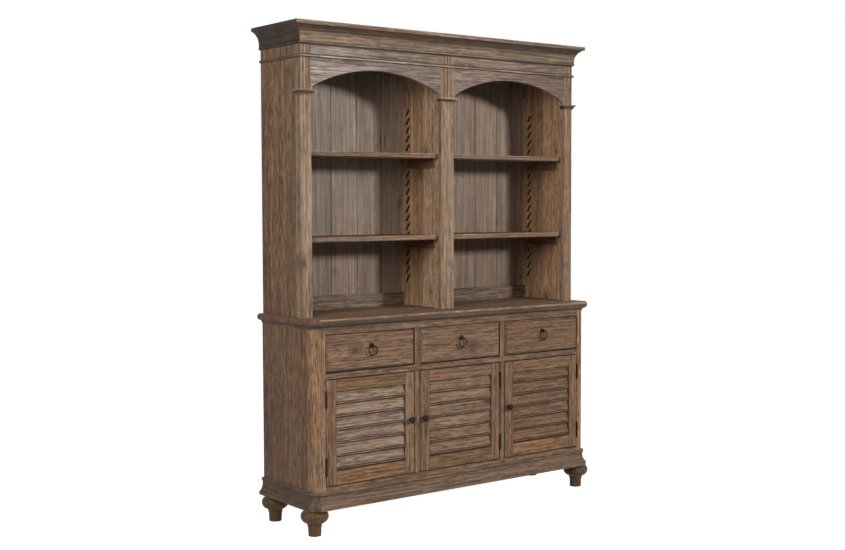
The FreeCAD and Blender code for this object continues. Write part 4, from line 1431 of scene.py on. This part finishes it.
def number_boards(mesh: bpy.types.Mesh) -> int:
    """Write on each vertex which board it belongs to.

    Args:
        mesh: A copy of a CAD node's mesh. A board's triangles stand together there and close on themselves.

    Returns:
        How many boards there are.
    """
    numbers = [0] * len(mesh.vertices)
    unmatched: set[tuple] = set()
    board = 0
    for face in mesh.polygons:
        corners = [tuple(round(part, 6) for part in mesh.vertices[index].co) for index in face.vertices]
        for index in face.vertices:
            numbers[index] = board
        for first, second in zip(corners, corners[1:] + corners[:1]):
            if (second, first) in unmatched:
                unmatched.remove((second, first))
            else:
                unmatched.add((first, second))
        if not unmatched:
            board += 1
    mesh.attributes.new(BOARD, "INT", "POINT").data.foreach_set("value", numbers)
    return board


def separate_boards(mesh: bpy.types.Mesh) -> list[list[int]]:
    """Find the boards of a mesh: the faces that hang together.

    Args:
        mesh: A mesh whose doubles are merged.

    Returns:
        For each board, the numbers of its faces.
    """
    owner = list(range(len(mesh.vertices)))

    def head(index: int) -> int:
        """Follow a vertex to the one that stands for its board."""
        while owner[index] != index:
            owner[index] = owner[owner[index]]
            index = owner[index]
        return index

    for edge in mesh.edges:
        first, second = head(edge.vertices[0]), head(edge.vertices[1])
        if first != second:
            owner[second] = first
    boards: dict[int, list[int]] = {}
    for face in mesh.polygons:
        boards.setdefault(head(face.vertices[0]), []).append(face.index)
    return list(boards.values())


def show(piece: bpy.types.Object, body: str, slot: Slot, *nodes: str) -> bpy.types.Object:
    """Put a finished piece on its body and report it.

    Args:
        piece: The finished piece.
        body: The body that it rides on.
        slot: The record's material slot.
        nodes: The CAD nodes that it stands for.

    Returns:
        The same piece.
    """
    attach(piece, body)
    if nodes:
        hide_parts(*nodes)
    log.info("%s rides on %s with %d faces", piece.name, body, len(piece.data.polygons))
    return piece


def dress(piece: bpy.types.Object, finish: BronzeFinish) -> bpy.types.Object:
    """Give a metal piece its finish.

    Args:
        piece: The piece.
        finish: The metal.

    Returns:
        The same piece.
    """
    piece.data.materials.clear()
    piece.data.materials.append(finish.material())
    return piece


def dress_node(node: str, finish: BronzeFinish) -> None:
    """Give a CAD node, which stays as it is, its finish.

    Args:
        node: The CAD node.
        finish: The metal.
    """
    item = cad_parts[node]
    for slot in item.material_slots:
        slot.link = "OBJECT"
        slot.material = finish.material()
    log.info("%s dressed", node)


# Sub-assemblies

@dataclass
class BaseCase:
    """The low cabinet: counter, sides, face frame, mouldings, feet and insides; eases in millimetres."""

    joinery: Joinery
    counter_ease: float = 1.0
    frame_ease: float = 0.9
    moulding_ease: float = 0.5
    inner_ease: float = 0.6
    # Painted light and shade: sides, flats and the plinth's shoulders darker, and a painted highlight on
    # the counter's rounded nose
    counter_shading: Shading = Shading(sides=-0.30, flats=-0.18, shoulders=0.65)
    moulding_shading: Shading = Shading(sides=-0.30)
    plinth_shading: Shading = Shading(sides=-0.34, flats=-0.20, shoulders=-0.10)

    def build(self) -> None:
        """Build and dress every piece of the base case."""
        self.outside()
        self.inside()

    def outside(self) -> None:
        """The pieces that show from outside."""
        wood = self.joinery.boards
        wood("countertop", COUNTER_PINE, ease=self.counter_ease, shading=self.counter_shading)
        moulding = self.moulding_shading
        # The cove's ledges are painted dark as the shade under the counter
        wood("counter_cove", CROWN_PINE, ease=self.moulding_ease, stain=PaintedShade.LEDGES, shading=moulding)
        wood("plinth_moulding", CROWN_PINE, ease=self.moulding_ease, shading=self.plinth_shading)
        wood("base_left_side", LOW_SIDE_PINE, ease=self.frame_ease, grain=Grain.ALONG_Z)
        wood("base_right_side", LOW_SIDE_PINE, ease=self.frame_ease, grain=Grain.ALONG_Z)
        wood("base_corner_posts", CANT_PINE, ease=self.frame_ease)
        for node in ("top_rail", "middle_rail", "bottom_rail", "face_stiles"):
            # The sides in the gaps round the drawers and doors, and the eased edges, are painted dark as
            # shade
            wood(node, FRONT_PINE, ease=self.frame_ease, stain=PaintedShade.SIDES)
        wood("feet", FOOT_PINE, ease=self.moulding_ease, grain=Grain.ALONG_Z)

    def inside(self) -> None:
        """The pieces that show only from behind or with something open."""
        wood = self.joinery.boards
        for node in ("base_partitions", "base_bottom", "base_back", "foot_blocks", "drawer_runners"):
            wood(node, PLAIN_PINE, slot=Slot.INNER, ease=self.inner_ease)


@dataclass
class Drawer:
    """One drawer with its front, box, rosette, eye and ring; sizes in millimetres."""

    joinery: Joinery
    bay: Bay
    ease: float = 0.8
    box_ease: float = 0.5
    rosette: Profile = (
        (0.0, 12.0),
        (1.1, 12.0),
        (1.7, 11.3),
        (1.5, 10.0),
        (2.4, 8.8),
        (2.9, 6.4),
        (3.1, 4.4),
        (4.4, 3.5),
        (8.4, 3.2),
    )
    rosette_sides: int = 40
    eye_radius: float = 4.75
    eye_wire: float = 1.65
    eye_stretch: float = 1.45
    eye_steps: tuple[int, int] = (32, 14)
    ring_steps: tuple[int, int] = (72, 18)
    belly: float = 0.7
    belly_levels: Sequence[float] = (0.15, -0.15, -0.45, -0.7)

    def build(self) -> None:
        """Build and dress the drawer's pieces."""
        name = self.bay.value
        body = f"{name}_drawer"
        front = FRONT_TONES[self.bay]
        # The sides in the gaps and the eased edges of the front are painted dark as shade
        self.joinery.boards(f"{name}_drawer_front", front, body, ease=self.ease, stain=PaintedShade.SIDES)
        self.joinery.boards(f"{name}_drawer_box", PLAIN_PINE, body, Slot.INNER, ease=self.box_ease)
        self.pull(name, body)
        self.ring(name)

    def pull(self, name: str, body: str) -> None:
        """Turn the rosette and bend the eye that holds the ring.

        Args:
            name: The bay's name.
            body: The drawer's body.
        """
        low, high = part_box(f"{name}_drawer_pull")
        ring_low, ring_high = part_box(f"{name}_pull_ring")
        middle = (low + high) / 2
        foot = Vector((middle.x, high.y, middle.z))
        plate = turned(f"{name}_drawer_rosette", foot, FORWARD, self.rosette, self.rosette_sides)
        centre = Vector((middle.x, (ring_low.y + ring_high.y) / 2, middle.z))
        eye = ring_of("eye", centre, SIDEWAYS, self.eye_radius * MM, self.eye_wire * MM, self.eye_steps)
        with editing(eye, whole=True):
            bpy.ops.transform.resize(value=(self.eye_stretch, 1, 1), center_override=centre)
        show(dress(joined(plate, eye), BRONZE), body, Slot.BRONZE, f"{name}_drawer_pull")

    def ring(self, name: str) -> None:
        """Bend the loose ring, a little thicker at its foot.

        Args:
            name: The bay's name.
        """
        node = f"{name}_pull_ring"
        low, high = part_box(node)
        centre = (low + high) / 2
        wire = (high.y - low.y) / 2
        radius = (high.x - low.x) / 2 - wire
        piece = ring_of(f"{name}_ring", centre, FORWARD, radius, wire, self.ring_steps)
        points = piece.data.vertices
        for level in self.belly_levels:
            limit = centre.z + level * radius
            select_points(piece.data, [point.co.z < limit for point in points])
            with editing(piece):
                bpy.ops.mesh.select_mode(type="VERT")
                bpy.ops.transform.shrink_fatten(value=self.belly * MM / len(self.belly_levels))

        # The thickened foot is drawn back to the node's lowest point
        tall = high.z - low.z
        lift = low.z - min(point.co.z for point in points)
        with editing(piece, whole=True):
            ratio = tall / (tall + lift)
            bpy.ops.transform.resize(value=(1, 1, ratio), center_override=(centre.x, centre.y, high.z))
        show(dress(piece, BRONZE), f"{name}_ring", Slot.BRONZE, node)


@dataclass
class LouvreDoor:
    """One louvred door with its frame, slats, pegs, knob and hinge leaves; sizes in millimetres."""

    joinery: Joinery
    bay: Bay
    frame_ease: float = 0.9
    slat_ease: float = 0.4
    knob: Profile = (
        (0.0, 8.2),
        (1.6, 8.4),
        (2.5, 7.4),
        (3.4, 5.7),
        (7.0, 4.8),
        (10.0, 5.3),
        (11.8, 9.0),
        (13.8, 12.6),
        (16.2, 14.5),
        (18.2, 15.0),
        (20.4, 14.6),
        (23.2, 12.4),
        (25.8, 8.8),
        (27.3, 4.5),
        (27.9, 0.6),
    )
    knob_sides: int = 40
    peg: Profile = ((-4.0, 4.0), (0.15, 4.0), (0.5, 3.5), (0.65, 1.8), (0.7, 0.2))
    peg_sides: int = 20
    peg_side: float = 29.0
    peg_end: float = 24.0

    def build(self) -> None:
        """Build and dress the door's pieces."""
        name = self.bay.value
        body = f"{name}_door"
        wood = self.joinery.boards
        # The sides in the gaps and the eased edges of the frame are painted dark as shade
        wood(f"{name}_door_frame", DOOR_PINE, body, ease=self.frame_ease, stain=PaintedShade.SIDES)
        slats = SLAT_TONES[self.bay]
        # The grooves and eased edges of the slats are painted dark as the shadow between slats
        wood(f"{name}_door_slats", slats, body, ease=self.slat_ease, stain=PaintedShade.GROOVES)
        low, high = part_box(f"{name}_door_knob")
        foot = Vector(((low.x + high.x) / 2, high.y, (low.z + high.z) / 2))
        knob = turned(f"{name}_knob", foot, FORWARD, self.knob, self.knob_sides)
        show(dress(knob, BRONZE), body, Slot.BRONZE, f"{name}_door_knob")
        dress_node(f"{name}_door_hinge_leaves", BRONZE)
        self.pegs(name, body)

    def pegs(self, name: str, body: str) -> None:
        """Drive a peg through each of the frame's four joints.

        Args:
            name: The bay's name.
            body: The door's body.
        """
        low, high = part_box(f"{name}_door_frame")
        heights = (low.z + self.peg_end * MM, high.z - self.peg_end * MM)
        sides = (low.x + self.peg_side * MM, high.x - self.peg_side * MM)
        places = [Vector((x, low.y, z)) for x in sides for z in heights]
        peg = turned(f"{name}_door_pegs", places[0], FORWARD, self.peg, self.peg_sides)
        copies = [copied(peg, "peg", spot - places[0]) for spot in places[1:]]
        pegs = joined(peg, *copies)
        pegs.data.materials.append(PEG_AND_SHADOW_PINE.material())
        self.joinery.lay(pegs, Grain.ALONG_Y, PEG_AND_SHADOW_PINE.plank, None)
        show(pegs, body, Slot.WOOD)


@dataclass
class HingePins:
    """The case's hinge leaves, with ball finials on both ends of each pin; sizes in millimetres."""

    height: float = 64.0
    barrel: float = 4.0
    sides: int = 20
    finial: Profile = (
        (-0.5, 2.2),
        (0.3, 3.5),
        (1.0, 3.5),
        (1.5, 2.0),
        (2.1, 2.4),
        (3.0, 3.1),
        (4.0, 3.2),
        (5.0, 2.5),
        (5.6, 1.3),
        (5.8, 0.2),
    )

    def build(self) -> None:
        """Dress the leaves and put the finials on the pins."""
        dress_node("case_hinge_leaves", BRONZE)
        tops, feet = self.ends()
        upper = turned("hinge_finials", tops[0], UP, self.finial, self.sides)
        lower = turned("foot_finial", feet[0], -UP, self.finial, self.sides)
        copies = [copied(upper, "top_finial", spot - tops[0]) for spot in tops[1:]]
        copies += [copied(lower, "foot_finial", spot - feet[0]) for spot in feet[1:]]
        show(dress(joined(upper, lower, *copies), BRONZE), CASE, Slot.BRONZE)

    def ends(self) -> tuple[list[Vector], list[Vector]]:
        """Find both ends of every hinge pin.

        Returns:
            The upper ends and the lower ends.
        """
        tops = []
        feet = []
        for bay in Bay:
            low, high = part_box(f"{bay.value}_door_hinge_leaves")
            pin = Vector(((low.x + high.x) / 2, low.y + self.barrel * MM, 0.0))
            for foot in (low.z, high.z - self.height * MM):
                feet.append(pin + Vector((0, 0, foot)))
                tops.append(pin + Vector((0, 0, foot + self.height * MM)))
        return tops, feet


@dataclass
class Hutch:
    """The open bookcase: sides, posts, arches, mouldings, back and top; eases and painted shadow lines in
    millimetres.
    """

    joinery: Joinery
    board_ease: float = 0.9
    post_ease: float = 0.5
    moulding_ease: float = 0.4
    # Painted light and shade: sides and undersides darker, the crown's upright faces lighter, darker
    # towards the right end and the counter
    bead_shading: Shading = Shading(sides=-0.80, uprights=-0.15, right=-0.34)
    crown_shading: Shading = Shading(sides=-0.70, flats=-0.38, uprights=0.38, right=-0.30)
    arch_shading: Shading = Shading(right=-0.58)
    post_shading: Shading = Shading(right=-0.26)
    back_shading: Shading = Shading(right=-0.22, low=-0.22)
    # Thin dark boards laid as painted shadow lines above the astragal and under the crown: height, how far
    # proud, ease
    shadow_line: float = 4.0
    shadow_line_thick: float = 0.6
    shadow_line_ease: float = 0.15

    def build(self) -> None:
        """Build and dress the hutch's pieces."""
        wood = self.joinery.boards
        wood("hutch_left_side", SIDE_PINE, ease=self.board_ease, grain=Grain.ALONG_Z)
        wood("hutch_right_side", INNER_SIDE_PINE, ease=self.board_ease, grain=Grain.ALONG_Z)
        wood("hutch_partition", WARM_PINE, ease=self.board_ease, grain=Grain.ALONG_Z)
        posts = self.post_shading
        # The flutes of the posts are painted dark as shade in them
        wood("hutch_corner_posts", POST_PINE, ease=self.post_ease, stain=PaintedShade.FLUTES, shading=posts)
        wood("hutch_centre_post", CENTRE_POST_PINE, ease=self.post_ease, stain=PaintedShade.FLUTES)
        # The capitals' ledges are painted dark as shade
        wood("hutch_capitals", POST_PINE, ease=self.moulding_ease, stain=PaintedShade.LEDGES)
        wood("hutch_arches", ARCH_PINE, ease=self.post_ease, shading=self.arch_shading)
        wood("hutch_top", SIDE_PINE, ease=self.board_ease)
        wood(
            "hutch_back",
            BACK_PINE,
            slot=Slot.BACK,
            ease=self.moulding_ease,
            grain=Grain.ALONG_Z,
            plank_from=0.0,
            shading=self.back_shading,
        )
        wood("hutch_back_rails", CROWN_PINE, ease=self.board_ease)
        bead = self.bead_shading
        # The astragal's ledges are painted dark as shade
        wood("hutch_astragal", ARCH_PINE, ease=self.moulding_ease, stain=PaintedShade.LEDGES, shading=bead)
        wood("crown_moulding", CROWN_PINE, ease=self.moulding_ease, shading=self.crown_shading)
        self.shadow_lines()

    def shadow_lines(self) -> None:
        """Lay thin dark boards across the front as painted shadow lines, one above the astragal and one
        under the crown.
        """
        _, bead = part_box("hutch_astragal")
        crown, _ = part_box("crown_moulding")
        left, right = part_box("hutch_corner_posts")
        high = self.shadow_line * MM
        proud = left.y - self.shadow_line_thick * MM
        for name, foot in (("astragal_shadow_line", bead.z), ("crown_shadow_line", crown.z - high)):
            ends = Vector((left.x, proud, foot)), Vector((right.x, left.y, foot + high))
            self.joinery.board(name, ends, PEG_AND_SHADOW_PINE, self.shadow_line_ease)


@dataclass
class Shelving:
    """The toothed strips, their cleats and the four lift-off shelves; eases in millimetres."""

    joinery: Joinery
    shelf_ease: float = 2.0
    strip_ease: float = 0.4
    # Painted shade on the shelves' tops and undersides and on their upper eased edges
    shelf_shading: Shading = Shading(flats=-0.75, shoulders=-0.20)

    def build(self) -> None:
        """Build and dress the shelving's pieces."""
        wood = self.joinery.boards
        # The notches' ledges are painted dark as shade
        wood("toothed_strips", STRIP_PINE, ease=self.strip_ease, stain=PaintedShade.LEDGES)
        wood("shelf_cleats", CLEAT_PINE, ease=self.strip_ease)
        for bay in (Bay.LEFT, Bay.RIGHT):
            for level in ("lower", "upper"):
                shelf = f"{bay.value}_{level}_shelf"
                wood(shelf, SHELF_PINE, body=shelf, ease=self.shelf_ease, shading=self.shelf_shading)


# Studio

@dataclass(frozen=True)
class Lamp:
    """A soft square lamp that looks at the middle of the dresser; angles in degrees, lengths in metres."""

    name: str
    azimuth: float
    height: float
    power: float
    size: float
    distance: float = 6.2
    aim: tuple[float, float, float] = (0.0, 0.0, 1.05)

    def hang(self) -> None:
        """Put the lamp in its place."""
        turn = math.radians(self.azimuth)
        rise = math.radians(self.height)
        flat = math.cos(rise)
        outward = Vector((math.sin(turn) * flat, -math.cos(turn) * flat, math.sin(rise)))
        lamp = bpy.data.lights.new(self.name, "AREA")
        lamp.energy = self.power
        lamp.shape = "SQUARE"
        lamp.size = self.size
        holder = bpy.data.objects.new(self.name, lamp)
        holder.location = Vector(self.aim) + outward * self.distance
        holder.rotation_euler = (-outward).to_track_quat("-Z", "Y").to_euler()
        bpy.context.scene.collection.objects.link(holder)


@dataclass
class Studio:
    """Pale floor, soft light and the camera at the photograph's angle; degrees and metres."""

    azimuth: float = -37.27
    pitch: float = 3.2847
    roll: float = -0.1643
    lens: float = 53.662
    sensor: float = 36.0
    eye: tuple[float, float, float] = (-3.5345, -4.5590, 1.3858)
    floor_size: float = 60.0
    floor_cuts: int = 3
    floor_lit: Colour = (0.18, 0.18, 0.18)
    floor_shown: Colour = (0.90, 0.90, 0.90)
    floor_glow: float = 0.985
    key: Lamp = Lamp("key_light", azimuth=22.5, height=16.3, power=265.0, size=0.7)
    fill: Lamp = Lamp("fill_light", azimuth=-62.0, height=20.0, power=106.0, size=1.8, distance=4.2)
    top: Lamp = Lamp("top_light", azimuth=-15.0, height=68.0, power=28.0, size=2.5, distance=5.0)
    sky: float = 0.015

    def build(self) -> None:
        """Make the floor, the light and the camera."""
        self.floor()
        self.light()
        self.camera()
        bpy.context.scene.view_settings.view_transform = "Standard"

    def shown_white(self, pen: NodeSheet, lit: Socket, shown: Socket) -> Socket:
        """Tell the rays that see the white background from those that light the object.

        Args:
            pen: The sheet of the material or world.
            lit: The shader that the object is lit by.
            shown: The shader that camera, glossy and transmission rays see.

        Returns:
            The two shaders, mixed by the kind of ray.
        """
        path = pen.add("ShaderNodeLightPath")
        seen = pen.math("MAXIMUM", path["Is Camera Ray"], path["Is Glossy Ray"])
        seen = pen.math("MAXIMUM", seen, path["Is Transmission Ray"])
        return pen.add("ShaderNodeMixShader", (seen, lit, shown))[0]

    def floor(self) -> None:
        """Lay a floor that shows white and keeps the object's shadow."""
        plane = started(
            "studio_floor",
            bpy.ops.mesh.primitive_plane_add,
            size=self.floor_size,
            location=(0, 0, 0),
        )
        with editing(plane, whole=True):
            bpy.ops.mesh.subdivide(number_cuts=self.floor_cuts)
        made = bpy.data.materials.new("studio_floor")
        made.use_nodes = True
        nodes = made.node_tree.nodes
        nodes.remove(nodes["Principled BSDF"])
        pen = NodeSheet(made.node_tree)
        pale = pen.add("ShaderNodeBsdfDiffuse", {"Color": self.floor_lit})[0]
        faint = pen.add("ShaderNodeBsdfDiffuse", {"Color": self.floor_shown})[0]
        glow = pen.add("ShaderNodeEmission", {"Color": WHITE, "Strength": self.floor_glow})[0]
        bright = pen.add("ShaderNodeAddShader", (faint, glow))[0]
        pen.feed(nodes["Material Output"].inputs["Surface"], self.shown_white(pen, pale, bright))
        plane.data.materials.append(made)

    def light(self) -> None:
        """Hang three soft lamps and light the rest from the sky."""
        for lamp in (self.key, self.fill, self.top):
            lamp.hang()
        world = bpy.data.worlds.new("studio")
        bpy.context.scene.world = world
        world.use_nodes = True
        nodes = world.node_tree.nodes
        nodes.remove(nodes["Background"])
        pen = NodeSheet(world.node_tree)
        dim = pen.add("ShaderNodeBackground", {"Color": WHITE, "Strength": self.sky})[0]
        white = pen.add("ShaderNodeBackground", {"Color": WHITE, "Strength": 1.0})[0]
        pen.feed(nodes["World Output"].inputs["Surface"], self.shown_white(pen, dim, white))

    def camera(self) -> None:
        """Set the camera where the photograph was taken from."""
        turn = math.radians(self.azimuth)
        dip = math.radians(self.pitch)
        tilt = math.radians(self.roll)
        ahead = Vector((-math.sin(turn) * math.cos(dip), math.cos(turn) * math.cos(dip), -math.sin(dip)))
        level = Vector((math.cos(turn), math.sin(turn), 0.0))
        upright = level.cross(ahead)
        right = level * math.cos(tilt) + upright * math.sin(tilt)
        above = upright * math.cos(tilt) - level * math.sin(tilt)
        lens = bpy.data.cameras.new("photo_camera")
        lens.lens = self.lens
        lens.sensor_fit = "HORIZONTAL"
        lens.sensor_width = self.sensor
        holder = bpy.data.objects.new("photo_camera", lens)
        columns = Matrix((right, above, -ahead)).transposed()
        holder.matrix_world = Matrix.Translation(Vector(self.eye)) @ columns.to_4x4()
        bpy.context.scene.collection.objects.link(holder)
        bpy.context.scene.camera = holder


def main() -> None:
    """Build the studio and every sub-assembly."""
    logging.basicConfig(level=logging.INFO, format="%(message)s")
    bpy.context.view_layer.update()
    Studio().build()
    joinery = Joinery()
    BaseCase(joinery).build()
    for bay in Bay:
        Drawer(joinery, bay).build()
    for bay in Bay:
        LouvreDoor(joinery, bay).build()
    HingePins().build()
    Hutch(joinery).build()
    Shelving(joinery).build()


if __name__ == "__main__":
    main()
